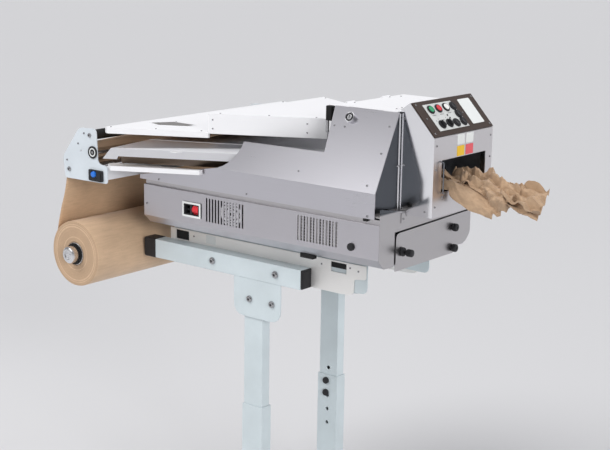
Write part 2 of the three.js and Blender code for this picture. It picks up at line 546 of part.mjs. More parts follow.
// Guillotine blade with its lifting yoke, parked above the paper path.
const BLADE = { x: 12, thickness: 3, half: 112, bottom: 236, top: 300 };
piece('cutter_blade', joined(
  prism('yz', [[-BLADE.half, BLADE.bottom + 14], [0, BLADE.bottom], [BLADE.half, BLADE.bottom + 14],
    [BLADE.half, BLADE.top], [-BLADE.half, BLADE.top]], BLADE.x, BLADE.x + BLADE.thickness),
  box(BLADE.x - 8, BLADE.x + BLADE.thickness + 8, -90, 90, BLADE.top - 12, BLADE.top)), CHROME);

// ---------------------------------------------------------------- exit hood
const HOOD_OUTLINE = [
  [HOOD.rear, HOOD.bottom], [HOOD.front, HOOD.bottom], [HOOD.front, HOOD.faceTop], [HOOD.apexX, HOOD.apexZ],
  [HOOD.rear, COVER.top + 4]];
const slope = new THREE.Vector2(HOOD.apexX - HOOD.front, HOOD.apexZ - HOOD.faceTop);
const slopeLength = slope.length();
const panelTilt = Math.atan2(HOOD.front - HOOD.apexX, HOOD.apexZ - HOOD.faceTop);

const panelGroup = new THREE.Group();
panelGroup.position.set(HOOD.front, 0, HOOD.faceTop);
panelGroup.rotation.y = -panelTilt;
machine.add(panelGroup);
panelGroup.updateMatrixWorld(true);
const panelMatrix = new THREE.Matrix4().compose(
  panelGroup.position, panelGroup.quaternion, new THREE.Vector3(1, 1, 1));

// Controls on the panel: [name, across, up the slope, look, kind]
const CONTROLS = [
  ['button_green', -78, 73, GREEN, 'push'],
  ['button_red', -46, 73, RED, 'push'],
  ['button_white', -14, 73, WHITE, 'push'],
  ['button_black_upper', 16, 73, BLACK, 'push'],
  ['button_black_middle', 17, 50, BLACK, 'push'],
  ['button_black_lower', 17, 28, BLACK, 'push'],
  ['button_black_inner', -12, 28, BLACK, 'push'],
  ['selector_left', -72, 30, BLACK, 'selector'],
  ['selector_right', -41, 30, BLACK, 'selector'],
];
const CONTROL_BORE = 9.6;

function exitHood() {
  const inner = [
    [HOOD.rear - 5, HOOD.bottom + SHEET], [HOOD.front - SHEET, HOOD.bottom + SHEET],
    [HOOD.front - SHEET, HOOD.faceTop - 1], [HOOD.apexX - 1, HOOD.apexZ - 3],
    [HOOD.rear - 5, COVER.top - 1]];
  const panelWindow = box(-20, 20, -104, 112, 10, slopeLength - 10).applyMatrix4(panelMatrix);
  const exit = box(HOOD.front - 10, HOOD.front + 10, EXIT.near, EXIT.far, EXIT.bottom, EXIT.top);
  const legRoom = box(HOOD.rear - 1, FRAME.front + 1, -FRAME.half - FRAME.plate - GAP, FRAME.half + FRAME.plate + GAP,
    HOOD.bottom + 1, HOOD.bottom + 5);
  return cut(prism('xz', HOOD_OUTLINE, -HOOD.half, HOOD.half),
    prism('xz', inner, -HOOD.half + SHEET, HOOD.half - SHEET), panelWindow, exit, legRoom);
}
piece('exit_hood', exitHood(), STEEL);

// ---------------------------------------------------------------- control panel
const bezel = box(0.3, 3.3, -HOOD.half + 1, HOOD.half - 1, 2, slopeLength - 2);
const bores = CONTROLS.map(([, y, z]) => bar('x', [0, y, z], CONTROL_BORE, 30, 20));
piece('panel_bezel', cut(bezel, ...bores), BEZEL, panelGroup);
const legend = prism('yz', [[-95, 14], [31, 14], [21, 89], [-97, 89]], 3.6, 4.6);
piece('panel_plate', cut(legend, ...bores), LABEL, panelGroup);

for (const [name, y, z, look, kind] of CONTROLS) {
  const stem = bar('x', [-6, 0, 0], 7, 18, 16);
  const head = kind === 'push'
    ? joined(stem, bar('x', [5.5, 0, 0], 9, 8, 20))
    : joined(stem, bar('x', [4.2, 0, 0], 9, 5, 20), box(3, 14, -3, 3, -9, 9));
  piece(name, head, look, panelGroup).position.set(0, y, z);
}

// ---------------------------------------------------------------- small switches
// Mains inlet module in the vented side: housing with a rocker beside the socket.
const INLET = { x0: -614, x1: -552, z0: 18, z1: 56 };
const inletPlate = box(INLET.x0, INLET.x1, casingNear - 2.3, casingNear - GAP, INLET.z0, INLET.z1);
const inletBody = box(-608.5, -557.5, casingNear - 1, casingNear + 30, 22.5, 51.5);
const socket = box(-606, -588, casingNear - 3, casingNear + 16, 26, 48);
const socketPins = [-602, -597, -592].map((x) => box(x - 1, x + 1, casingNear + 1, casingNear + 18, 34, 39));
const rockerWell = box(-581, -560, casingNear - 3, casingNear + 17, 25, 50);
const inletShell = cut(joined(inletPlate, inletBody), socket, rockerWell);
piece('power_inlet', joined(inletShell, ...socketPins), BLACK);

const rockerTilt = 8 * Math.PI / 180;
const rocker = joined(bar('x', [0, 0, 0], 9.5, 20, 24), box(-10, 10, -4.5, 2, -11, 11));
const rockerMesh = piece('power_rocker', rocker, RED);
rockerMesh.position.set(-570.5, casingNear + 6, 37.5);
rockerMesh.rotation.x = rockerTilt;

const blueButton = joined(bar('y', [0, -6, 0], 7.5, 10, 20), bar('y', [0, 4, 0], 6, 14, 16));
piece('infeed_button', blueButton, BLUE).position.set(-818, -INFEED.half, 115);

// Door plunger: pull knob on a spring-loaded pin.
const plunger = joined(bar('x', [8, 0, 0], 4.8, 30, 16), bar('x', [26, 0, 0], 8.5, 16, 20));
piece('door_plunger', plunger, BLACK).position.set(0, plungerY, plungerZ);

// ---------------------------------------------------------------- crumpled paper
// Finished cushion lying in the exit, from the cutter outwards and drooping at its end.
const padOutline = [
  [24, 168], [70, 157], [120, 140], [185, 110], [245, 114], [300, 122], [310, 146], [310, 170], [270, 190],
  [190, 201], [60, 208], [24, 205]];
piece('paper_pad', prism('xz', padOutline, -62, 58), KRAFT);

export default object;
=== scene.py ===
# Looks of a crumpled-paper cushioning converter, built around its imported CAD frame.
import random
from math import atan2, cos, pi, radians, sin

import bmesh
import bpy
from mathutils import Matrix, Vector, noise


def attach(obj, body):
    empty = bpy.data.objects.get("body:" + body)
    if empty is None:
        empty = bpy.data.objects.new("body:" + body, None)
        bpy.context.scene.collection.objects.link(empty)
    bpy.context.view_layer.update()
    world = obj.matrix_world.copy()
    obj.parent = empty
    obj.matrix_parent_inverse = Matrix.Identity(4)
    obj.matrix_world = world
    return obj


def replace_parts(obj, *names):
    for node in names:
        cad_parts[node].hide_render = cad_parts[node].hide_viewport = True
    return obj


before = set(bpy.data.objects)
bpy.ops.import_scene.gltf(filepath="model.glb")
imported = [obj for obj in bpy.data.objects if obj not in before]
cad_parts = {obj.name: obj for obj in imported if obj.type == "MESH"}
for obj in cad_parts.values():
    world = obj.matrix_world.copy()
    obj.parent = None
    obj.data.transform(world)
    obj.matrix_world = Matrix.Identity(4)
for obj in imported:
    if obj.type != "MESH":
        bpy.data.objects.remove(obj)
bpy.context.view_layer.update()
SCENE = bpy.context.scene

# The machine is drawn in millimetres about the lower front edge of its casing.
SHIFT_X, SHIFT_Z = 340, 900
MM = 0.001


def at(x, y, z):
    """Row-frame point, in metres, of a machine point in millimetres."""
    return Vector(((x + SHIFT_X) * MM, y * MM, (z + SHIFT_Z) * MM))


X, Y, Z = Vector((1, 0, 0)), Vector((0, 1, 0)), Vector((0, 0, 1))
SIDES = (("near", -1), ("far", 1))

# ---- materials


def fill(node, sockets):
    """Sets each named input of a node to a value, or joins it to another node's output."""
    for key, value in sockets.items():
        if isinstance(value, bpy.types.NodeSocket):
            node.id_data.links.new(value, node.inputs[key])
        else:
            node.inputs[key].default_value = value


def add_node(tree, kind, sockets=None, **settings):
    made = tree.nodes.new(kind)
    for key, value in settings.items():
        setattr(made, key, value)
    fill(made, sockets or {})
    return made


class Look:
    """A node material round one Principled shader, with helpers that add detail to it."""

    def __init__(self, name, color, rough, metal=0, **sockets):
        self.mat = bpy.data.materials.new(name)
        self.mat.use_nodes = True
        self.bsdf = self.mat.node_tree.nodes["Principled BSDF"]
        self.color = color
        fill(self.bsdf, {"Base Color": (*color, 1), "Roughness": rough, "Metallic": metal})
        fill(self.bsdf, {key.replace("_", " "): value for key, value in sockets.items()})
        self.coord = self.node("ShaderNodeTexCoord").outputs["Object"]

    def node(self, kind, sockets=None, **settings):
        return add_node(self.mat.node_tree, kind, sockets, **settings)

    def stretched(self, scale):
        return self.node("ShaderNodeMapping", {"Scale": scale, "Vector": self.coord}).outputs["Vector"]

    def noise(self, scale, detail, vector=None, rough=0.5):
        return self.node("ShaderNodeTexNoise", {
            "Scale": scale, "Detail": detail, "Roughness": rough,
            "Vector": self.coord if vector is None else vector}).outputs["Fac"]

    def spread(self, value, low, high, frm=0.3, to=0.7):
        """Maps a value from one range of numbers to another."""
        return self.node("ShaderNodeMapRange", {
            "Value": value, "From Min": frm, "From Max": to, "To Min": low, "To Max": high}).outputs["Result"]

    def math(self, operation, a, b):
        return self.node("ShaderNodeMath", {0: a, 1: b}, operation=operation).outputs[0]

    def mixed(self, a, b, fac):
        """Mix of two colours that becomes the base colour."""
        mix = self.node("ShaderNodeMix", {"A": a, "B": b, "Factor": fac}, data_type="RGBA").outputs["Result"]
        fill(self.bsdf, {"Base Color": mix})
        return mix

    def tint(self, fac, dark, light):
        ends = [(*[min(1, c * gain) for c in self.color], 1) for gain in (dark, light)]
        return self.mixed(*ends, fac)

    def gloss(self, value):
        fill(self.bsdf, {"Roughness": value})

    def bump(self, height, distance):
        made = self.node("ShaderNodeBump", {"Distance": distance, "Strength": 1, "Height": height})
        fill(self.bsdf, {"Normal": made.outputs["Normal"]})


SCRATCH_DEPTH = 0.0000005


def brushed(name, color, rough, grain, spread=0.012, smudge=0.012, metal=1):
    """Brushed sheet: long scratches along one axis, with faint handling marks over them."""
    look = Look(name, color, rough, metal)
    lines = look.noise(1, 4, look.stretched(grain), 0.7)
    cloud = look.noise(7, 4)
    look.tint(look.spread(lines, 0, 1), 0.985, 1.012)
    look.gloss(look.math("ADD", look.spread(lines, rough - spread, rough + spread),
                         look.spread(cloud, -smudge, smudge)))
    look.bump(lines, SCRATCH_DEPTH)
    return look


def coated(name, color, rough, peel=900, depth=0.00005, level=0.5):
    """Powder coat or moulded plastic: a fine orange peel and slightly uneven colour."""
    look = Look(name, color, rough, Specular_IOR_Level=level)
    cloud = look.noise(9, 4)
    look.tint(look.spread(cloud, 0, 1), 0.93, 1.05)
    look.gloss(look.spread(cloud, rough - 0.05, rough + 0.06))
    look.bump(look.noise(peel, 2), depth)
    return look


def kraft(name, color, fibre, creases=0):
    """Unbleached paper: fibres along the web, specks, and a soft unevenness."""
    look = Look(name, color, 0.82, 0, Sheen_Weight=0.15)
    lines = look.noise(1, 4, look.stretched(fibre), 0.7)
    cloud = look.noise(14, 5)
    mixed = look.math("ADD", look.math("MULTIPLY", lines, 0.55), look.math("MULTIPLY", cloud, 0.45))
    base = look.tint(look.spread(mixed, 0, 1, 0.35, 0.65), 0.86, 1.1)
    specks = look.spread(look.noise(420, 2), 0, 0.35, 0.62, 0.78)
    look.mixed(base, (*[c * 0.55 for c in color], 1), specks)
    look.gloss(look.spread(cloud, 0.76, 0.9))
    look.bump(look.math("ADD", lines, look.math("MULTIPLY", cloud, creases)), 0.00012 + creases * 0.0004)
    return look


ALONG_X, ALONG_Y, ALONG_Z = (9, 900, 900), (900, 9, 900), (900, 900, 9)
STEEL = brushed("brushed_steel", (0.575, 0.56, 0.59), 0.3, ALONG_X)
COVER = brushed("cover_steel", (0.63, 0.62, 0.66), 0.29, ALONG_X)
FACE = brushed("face_steel", (0.56, 0.545, 0.555), 0.34, ALONG_Y)
FRONT_STEEL = brushed("front_steel", (0.56, 0.545, 0.555), 0.33, ALONG_Y)
WHITE_STEEL = brushed("bright_steel", (0.96, 0.96, 0.975), 0.5, ALONG_X, metal=0.45)
FLOOR_STEEL = brushed("chute_steel", (0.93, 0.93, 0.95), 0.45, ALONG_X)
HOOD_STEEL = brushed("hood_steel", (0.74, 0.72, 0.735), 0.3, ALONG_Z)
SCREW = brushed("screw_steel", (0.45, 0.45, 0.46), 0.22, (60, 60, 60))
DARK_STEEL = brushed("dark_steel", (0.22, 0.23, 0.25), 0.26, ALONG_Z)
INNER = brushed("inner_steel", (0.4, 0.41, 0.43), 0.45, ALONG_Y)
ZINC = brushed("zinc_plate", (0.86, 0.85, 0.83), 0.5, ALONG_X, metal=0.6)
CHROME = brushed("chrome_plate", (0.78, 0.78, 0.8), 0.13, (30, 30, 30), 0.04, 0.03)
ALUMINIUM = brushed("turned_aluminium", (0.74, 0.74, 0.75), 0.25, (60, 900, 60), 0.08)


def painted_light_or_second_colour(look, low_color, value, frm, to):
    """Second colour that takes over as a value falls from one number to another."""
    source = look.bsdf.inputs["Base Color"].links[0].from_socket
    look.mixed(source, (*low_color, 1), look.spread(value, 1, 0, frm, to))


def facing(look, axis):
    """How far the surface faces along an axis, from -1 to 1."""
    normal = look.node("ShaderNodeNewGeometry").outputs["Normal"]
    return look.node("ShaderNodeSeparateXYZ", {0: normal}).outputs[axis]


# Painted reflection: the chute's sheet is brown-grey underneath, standing for the kraft paper mirrored in it.
painted_light_or_second_colour(FLOOR_STEEL, (0.24, 0.185, 0.14), facing(FLOOR_STEEL, "Z"), -0.35, -0.15)
# Painted highlight: the hood's near side has a paler colour than its front, standing for the brighter reflection it
# shows; it is also more polished.
PAINTED_HIGHLIGHT_SIDE = (-0.8, -0.5)
painted_light_or_second_colour(HOOD_STEEL, (0.97, 0.97, 0.99), facing(HOOD_STEEL, "Y"), *PAINTED_HIGHLIGHT_SIDE)
HOOD_STEEL.gloss(HOOD_STEEL.math("MULTIPLY", HOOD_STEEL.bsdf.inputs["Roughness"].links[0].from_socket,
                                 HOOD_STEEL.spread(facing(HOOD_STEEL, "Y"), 0.42, 1, *PAINTED_HIGHLIGHT_SIDE)))
# The strip along the front plate's top edge is dark.
height = FRONT_STEEL.node("ShaderNodeSeparateXYZ", {0: FRONT_STEEL.coord}).outputs["Z"]
painted_light_or_second_colour(FRONT_STEEL, (0.115, 0.125, 0.14), FRONT_STEEL.math("MULTIPLY", height, -1), -1.0085, -1.0045)

PAINT = coated("grey_blue_paint", (0.545, 0.61, 0.635), 0.42)
PLATE_PAINT = coated("plate_paint", (0.60, 0.65, 0.69), 0.45)
BLACK = coated("black_plastic", (0.018, 0.018, 0.02), 0.42, level=0.3)
RUBBER = coated("black_rubber", (0.016, 0.016, 0.016), 0.7, 500, 0.0001, 0.25)
BEZEL = coated("bezel_paint", (0.050, 0.034, 0.028), 0.42, level=0.2)
LABEL = coated("legend_film", (0.60, 0.615, 0.605), 0.38)
BLANK = coated("blank_label", (0.72, 0.74, 0.73), 0.4)
LINER = coated("ledge_grey", (0.42, 0.405, 0.40), 0.45)
# painted shade: flat grey that stands for the shadowed inside of an opening
OPENING_SHADE = coated("opening_painted_shade", (0.2, 0.195, 0.19), 0.7, level=0.1)
MOTOR = coated("motor_paint", (0.045, 0.045, 0.05), 0.45)
GREEN = coated("green_cap", (0.012, 0.30, 0.12), 0.22)
RED = coated("red_cap", (0.62, 0.02, 0.03), 0.24)
WHITE = coated("white_cap", (0.80, 0.80, 0.78), 0.25)
BLUE = coated("blue_cap", (0.02, 0.16, 0.62), 0.25)
YELLOW = coated("yellow_label", (0.80, 0.50, 0.02), 0.45)
ROSE = coated("red_label", (0.72, 0.10, 0.12), 0.45)
PAPER = kraft("kraft_paper", (0.58, 0.395, 0.25), (240, 30, 240), 0.25)
ROLLED = kraft("rolled_paper", (0.56, 0.39, 0.255), (120, 14, 120))
ROLL_END = kraft("roll_edge", (0.44, 0.30, 0.19), (900, 40, 900), 0.3)
PAD_PAPER = kraft("crumpled_paper", (0.43, 0.295, 0.19), (60, 160, 160), 0.6)
CARD = kraft("core_board", (0.27, 0.19, 0.13), (200, 30, 200))

for material_slot, looks in {
        "steel": (FACE, FRONT_STEEL, LINER), "white_steel": (WHITE_STEEL,), "chrome": (CHROME, SCREW),
        "inner_steel": (DARK_STEEL, ZINC, OPENING_SHADE), "aluminium": (ALUMINIUM,), "black_plastic": (BLACK,),
        "black_rubber": (RUBBER,), "label": (BLANK, YELLOW, ROSE), "green": (GREEN,), "red": (RED,),
        "white": (WHITE,), "blue": (BLUE,), "cardboard": (CARD,),
        "kraft_paper": (PAPER, ROLLED, ROLL_END, PAD_PAPER)}.items():
    for look in looks:
        look.slot = material_slot

# ---- mesh tools


def placed(name, data):
    obj = bpy.data.objects.new(name, data)
    SCENE.collection.objects.link(obj)
    return obj


def piece(name, bm, look, body="head", slot=None, bevel=0, angle=32):
    """Turns a bmesh into a smooth-shaded piece that rides on a body."""
    slot = slot or look.slot
    bmesh.ops.remove_doubles(bm, verts=bm.verts, dist=1e-6)
    bmesh.ops.recalc_face_normals(bm, faces=bm.faces)
    mesh = bpy.data.meshes.new(name)
    bm.to_mesh(mesh)
    bm.free()
    mesh.shade_smooth()
    mesh.set_sharp_from_angle(angle=radians(angle))
    mesh.materials.append(look.mat)
    obj = placed(name, mesh)
    if bevel:
        add_bevel(obj, bevel)
        even_normals(obj)
    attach(obj, body)
    return obj


def single(name, look, shape, *args, body="head", slot=None, bevel=0):
    """Piece made of one shape, such as a lathe, slab or block."""
    bm = bmesh.new()
    shape(bm, *args)
    return piece(name, bm, look, body, slot, bevel)


def even_normals(obj):
    """Large faces keep their own normals, so that flat sheet stays flat up to its edge."""
    mod = obj.modifiers.new("even_normals", "WEIGHTED_NORMAL")
    mod.keep_sharp = True
    mod.weight = 50


def add_bevel(obj, width, angle=35):
    mod = obj.modifiers.new("bevel", "BEVEL")
    mod.width = width
    mod.segments = 2
    mod.limit_method = "ANGLE"
    mod.angle_limit = radians(angle)


def corners(a, b):
    return (-a, -b), (a, -b), (a, b), (-a, b)


def spoke(t):
    """Direction in the side plane, from the angle above +X."""
    return X * cos(t) + Z * sin(t)


def circle(count, start=0):
    """Evenly spaced angles of a whole turn."""
    return [2 * pi * i / count + start for i in range(count)]


def axes_for(axis):
    axis = axis.normalized()
    side = axis.cross(Z if abs(axis.z) < 0.9 else X).normalized()
    return axis, side, axis.cross(side)


def lathe(bm, profile, origin, axis, sides):
    """Turned solid: profile of (radius, distance along axis) in millimetres, closed on the axis."""
    axis, u, v = axes_for(axis)
    rings = []
    for r, h in profile:
        centre = origin + axis * (h * MM)
        if r <= 0:
            rings.append([bm.verts.new(centre)])
            continue
        rings.append([bm.verts.new(centre + (u * cos(t) + v * sin(t)) * (r * MM)) for t in circle(sides)])
    for a, b in zip(rings, rings[1:]):
        for i in range(sides):
            j = (i + 1) % sides
            quad = a[i % len(a)], b[i % len(b)], b[j % len(b)], a[j % len(a)]
            face = list(dict.fromkeys(quad))
            if len(face) > 2:
                bm.faces.new(face)
    return rings


def slab(bm, points, vector):
    """Outline of row-frame points, extruded along a vector."""
    low = [bm.verts.new(p) for p in points]
    high = [bm.verts.new(p + vector) for p in points]
    bm.faces.new(low)
    bm.faces.new(high[::-1])
    for i in range(len(points)):
        j = (i + 1) % len(points)
        bm.faces.new((low[i], low[j], high[j], high[i]))


def block(bm, x0, x1, y0, y1, z0, z1):
    slab(bm, [at(x0, y0, z0), at(x1, y0, z0), at(x1, y1, z0), at(x0, y1, z0)], Z * ((z1 - z0) * MM))


def rounded(x0, x1, z0, z1, r):
    """Rounded rectangle as (x, z) pairs."""
    out = []
    for cx, cz, start in ((x1 - r, z1 - r, 0), (x0 + r, z1 - r, 90), (x0 + r, z0 + r, 180), (x1 - r, z0 + r, 270)):
        for step in (0, 22.5, 45, 67.5, 90):
            t = radians(start + step)
            out.append((cx + r * cos(t), cz + r * sin(t)))
    return out


def rounded_x(x, *limits):
    """Rounded rectangle across X; limits are y0, y1, z0, z1 and the corner radius."""
    return [at(x, a, b) for a, b in rounded(*limits)]


def rounded_y(y, *limits):
    """The same across Y, with x in place of y."""
    return [at(a, y, b) for a, b in rounded(*limits)]


def ring_slab(bm, outer, inner, vector):
    """Flat frame between two outlines of equal length, extruded along a vector."""
    low_out, low_in, high_out, high_in = (
        [bm.verts.new(p + offset) for p in loop] for offset in (Vector(), vector) for loop in (outer, inner))
    n = len(outer)
    for i in range(n):
        j = (i + 1) % n
        bm.faces.new((low_out[i], low_out[j], low_in[j], low_in[i]))
        bm.faces.new((high_out[i], high_in[i], high_in[j], high_out[j]))
        bm.faces.new((low_out[i], high_out[i], high_out[j], low_out[j]))
        bm.faces.new((low_in[i], low_in[j], high_in[j], high_in[i]))


def pipe(bm, points, radius, sides):
    """Round rod through row-frame points, with closed ends; radius in millimetres."""
    rings, side = [], None
    for i, p in enumerate(points):
        along = (points[min(i + 1, len(points) - 1)] - points[max(i - 1, 0)]).normalized()
        if side is None:
            side = axes_for(along)[1]
        side = (side - along * side.dot(along)).normalized()
        other = along.cross(side)
        rings.append([bm.verts.new(p + (side * cos(t) + other * sin(t)) * (radius * MM))
                      for t in circle(sides)])
    for a, b in zip(rings, rings[1:]):
        for k in range(sides):
            bm.faces.new((a[k], a[(k + 1) % sides], b[(k + 1) % sides], b[k]))
    bm.faces.new(rings[0][::-1])
    bm.faces.new(rings[-1])


def rounded_path(points, radius):
    """Polyline with its inner corners rounded."""
    steps = 5
    out = [points[0]]
    for a, b, c in zip(points, points[1:], points[2:]):
        start, end = b + (a - b).normalized() * radius, b + (c - b).normalized() * radius
        for i in range(steps + 1):
            t = i / steps
            out.append(start * (1 - t) ** 2 + b * 2 * t * (1 - t) + end * t * t)
    out.append(points[-1])
    return out


def screw(bm, origin, axis, radius):
    """Button-head screw with a hexagon socket."""
    h = radius * 0.62
    lathe(bm, [(0, -1), (radius * 0.9, -1), (radius, 0.1), (radius * 0.98, h * 0.35), (radius * 0.84, h * 0.75),
               (radius * 0.6, h), (radius * 0.48, h)], origin, axis, 18)
    lathe(bm, [(radius * 0.6, h), (radius * 0.46, h * 0.97), (radius * 0.46, h * 0.35), (0, h * 0.3)],
          origin, axis, 6)


BOLT_RADIUS = 5      # smaller heads are drawn a little under their nominal size


def screws(name, spots, body="head"):
    """Several screws as one piece. A spot is (point, outward axis, head radius)."""
    bm = bmesh.new()
    for point, axis, radius in spots:
        screw(bm, point, axis, radius if radius > BOLT_RADIUS else radius * 0.85)
    return piece(name, bm, SCREW, body)


# ---- CAD nodes that keep their shape


def edge_smoothing(name, degrees):
    """Geometry nodes that shade smooth and keep edges over an angle sharp."""
    tree = bpy.data.node_groups.new(name, "GeometryNodeTree")
    for way in ("INPUT", "OUTPUT"):
        tree.interface.new_socket("Geometry", in_out=way, socket_type="NodeSocketGeometry")
    start, end = tree.nodes.new("NodeGroupInput"), tree.nodes.new("NodeGroupOutput")
    soft = add_node(tree, "GeometryNodeSetShadeSmooth", {"Geometry": start.outputs[0]})
    turn = add_node(tree, "GeometryNodeInputMeshEdgeAngle")
    over = add_node(tree, "FunctionNodeCompare",
                    {"A": turn.outputs["Unsigned Angle"], "B": radians(degrees)}, operation="GREATER_THAN")
    hard = add_node(tree, "GeometryNodeSetShadeSmooth",
                    {"Geometry": soft.outputs["Geometry"], "Selection": over.outputs["Result"],
                     "Shade Smooth": False}, domain="EDGE")
    fill(end, {0: hard.outputs["Geometry"]})
    return tree


ROUND_SMOOTHING = edge_smoothing("round_smoothing", 31)
SHEET_SMOOTHING = edge_smoothing("sheet_smoothing", 16)
SHEET_LOOKS = (WHITE_STEEL, FLOOR_STEEL, STEEL, FACE, FRONT_STEEL, COVER, HOOD_STEEL)


def both(*stems):
    return [f"{stem}_{side}" for stem in stems for side, _ in SIDES]


CAD_LOOKS = {
    PAINT: [*both("floor_rail", "outer_leg", "inner_leg", "cradle_tube"),
            "floor_cross_beam", "machine_saddle", "roll_arm"],
    PLATE_PAINT: both("infeed_plate"),
    ZINC: both("cradle_plate"),
    WHITE_STEEL: ["chute_top", "roof_lid", "infeed_cross_tray"],
    FLOOR_STEEL: ["chute_floor"],
    INNER: ["inner_chassis", "mechanism_frame"],
    STEEL: both("side_panel"), COVER: both("side_cover"),
    FACE: ["front_door"], FRONT_STEEL: ["front_plate"], HOOD_STEEL: ["exit_hood"],
    CHROME: ["lid_lock", "drive_gear", "idler_gear", "cutter_blade"],
    MOTOR: ["drive_motor"], BEZEL: ["panel_bezel"], LABEL: ["panel_plate"],
    RED: ["power_rocker"], BLACK: ["power_inlet"],
}
# bevel widths in millimetres
SOFT_EDGE = 0.4
BROAD_EDGE = {"floor_rail": 3, "cradle_tube": 2.5, "floor_cross_beam": 3, "inner_leg": 1.5, "outer_leg": 1.5,
              "power_rocker": 0.8, "drive_motor": 1.5}
for look, names in CAD_LOOKS.items():
    folded = look in SHEET_LOOKS
    for node_name in names:
        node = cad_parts[node_name]
        node.data.materials.clear()
        node.data.materials.append(look.mat)
        weld = node.modifiers.new("weld", "WELD")
        weld.merge_threshold = 1e-5
        stem = node_name.removesuffix("_near").removesuffix("_far")
        add_bevel(node, BROAD_EDGE.get(stem, SOFT_EDGE) * MM, 9 if folded else 25)
        node.modifiers.new("smoothing", "NODES").node_group = SHEET_SMOOTHING if folded else ROUND_SMOOTHING
        even_normals(node)

# ---- stand details
RAIL_Y, RAIL_TOP, RAIL_LOW = 160, -77, -127
RAIL_REAR, RAIL_FRONT = -801, -266
FLOOR_LOW, FLOOR_TOP = -862, -812
FLOOR_REAR, FLOOR_FRONT = -790, -36


def sleeve_cap(bm, x0, x1, y, z0, z1):
    """Plastic cap pulled over the end of a box tube; the closed end is at x0."""
    tall = 1.3
    wide = 20 + tall
    outer = [at(x0, y + a, b) for a, b in rounded(-wide, wide, z0 - tall, z1 + tall, 4)]
    inner = [at(x0, y + a, b) for a, b in rounded(-20.15, 20.15, z0 - 0.15, z1 + 0.15, 2)]
    ring_slab(bm, outer, inner, X * ((x1 - x0) * MM))
    face = [at(x0, y + a, b) for a, b in rounded(-wide + 1, wide - 1, z0 - tall + 1, z1 + tall - 1, 4)]
    slab(bm, face, X * (-2 * MM))


def plug_cap(bm, x, way, y, z0, z1):
    """Flat plastic plug in the open end of a box tube."""
    slab(bm, [at(x, y + a, b) for a, b in rounded(-19.4, 19.4, z0 + 0.6, z1 - 0.6, 3)], X * (way * 3 * MM))
    slab(bm, [at(x + way * 3, y + a, b) for a, b in rounded(-14, 14, z0 + 6, z1 - 6, 3)], X * (way * 0.8 * MM))


for side, sign in SIDES:
    y = sign * RAIL_Y
    single(f"tube_sleeve_{side}", BLACK, sleeve_cap, RAIL_REAR - 1.2, RAIL_REAR + 38, y, RAIL_LOW, RAIL_TOP,
           bevel=0.0006)
    single(f"tube_plug_{side}", BLACK, plug_cap, RAIL_FRONT + 0.1, 1, y, RAIL_LOW, RAIL_TOP, bevel=0.0006)
    bm = bmesh.new()
    plug_cap(bm, FLOOR_REAR - 0.1, -1, y, FLOOR_LOW, FLOOR_TOP)
    plug_cap(bm, FLOOR_FRONT + 0.1, 1, y, FLOOR_LOW, FLOOR_TOP)
    piece(f"floor_plugs_{side}", bm, BLACK, "base", bevel=0.0006)

    out = Y * sign
    screws(f"cradle_bolts_{side}", [
        (at(-557, sign * 180.1, -101.5), out, 9.5), (at(-346, sign * 180.1, -101.5), out, 9.5),
        (at(-430.5, sign * 179.4, -180), out, 9), (at(-357, sign * 179.4, -181), out, 9)])
    bm = bmesh.new()
    for z in (-482, -517):
        lathe(bm, [(0, 0), (9, 0), (9.5, 1), (9.5, 5), (8.5, 6.5), (5, 7.2), (0, 7.4)],
              at(-424.5, sign * (RAIL_Y - 18.1), z), -out, 24)
    piece(f"clamp_bolts_{side}", bm, BLACK, "base")
    # levelling feet with threaded stems and lock nuts
    for end, fx in (("rear", FLOOR_REAR + 40), ("front", FLOOR_FRONT - 40)):
        bm = bmesh.new()
        base = Vector(((fx + SHIFT_X) * MM, y * MM, 0))
        lathe(bm, [(0, 0), (23, 0), (26, 1.5), (26, 6.5), (24.5, 8.5), (17.5, 10.5), (16.5, 13.5), (11, 16.5),
                   (9.5, 18), (9.5, 18.3), (0, 18.3)], base, Z, 40)
        pad = piece(f"foot_pad_{side}_{end}", bm, RUBBER, "base")
        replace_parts(pad, f"levelling_foot_{side}_{end}")
        bm = bmesh.new()
        stem = [(0, 18.3), (5.2, 18.3)]
        for i in range(6):
            stem += [(5.9, 19 + i * 1.5), (5.2, 19.75 + i * 1.5)]
        lathe(bm, stem + [(5.2, 28), (0, 28)], base, Z, 24)
        lathe(bm, [(0, 28), (9.5, 28), (10.4, 29), (10.4, 36.4), (9.4, 37.6), (0, 37.6)], base, Z, 6)
        piece(f"foot_stem_{side}_{end}", bm, CHROME, "base")

# ---- paper roll
ROLL_X, ROLL_Z, ROLL_R, ROLL_HALF = -902, -110, 88, 341
roll_centre = at(ROLL_X, 0, ROLL_Z)


def roll_sheet():
    """Wound paper: a slightly soft outer wrap, rounded rims and layered end faces."""
    bm = bmesh.new()
    sides = 160
    profile = [(32.1, -340.4), (45, -340.7), (60, -340.2), (74, -340.8), (85, -340.4), (87.4, -339.8), (87.9, -338),
               (87.8, -300), (88, -180), (87.9, -40), (88, 120), (87.8, 260), (87.9, 338), (87.4, 339.8),
               (85, 340.4), (74, 340.8), (60, 340.2), (45, 340.7), (32.1, 340.4), (32.1, -340.4)]
    rings = lathe(bm, profile, roll_centre, Y, sides)
    for ring in rings:
        for vert, t in zip(ring, circle(sides)):
            out = vert.co - roll_centre
            out -= Y * out.dot(Y)
            if out.length > 0.08:
                wave = 0.25 * sin(2 * t + 0.6) + 0.18 * sin(5 * t + 1.7) - 0.4
                vert.co += out.normalized() * (wave * MM)
    return piece("wound_paper", bm, ROLLED, "paper_roll", angle=50)


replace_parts(roll_sheet(), "paper_roll")
bm = bmesh.new()
for _, sign in SIDES:
    profile = [(32.2 + (86.6 - 32.2) * i / 26, 340.62 + (0.28 if i % 2 else 0) + 0.25 * sin(i * 1.9))
               for i in range(27)]
    lathe(bm, [(32.2, 340.2)] + profile + [(86.6, 340.2), (32.2, 340.2)], roll_centre, Y * sign, 96)
piece("paper_edges", bm, ROLL_END, "paper_roll", angle=60)

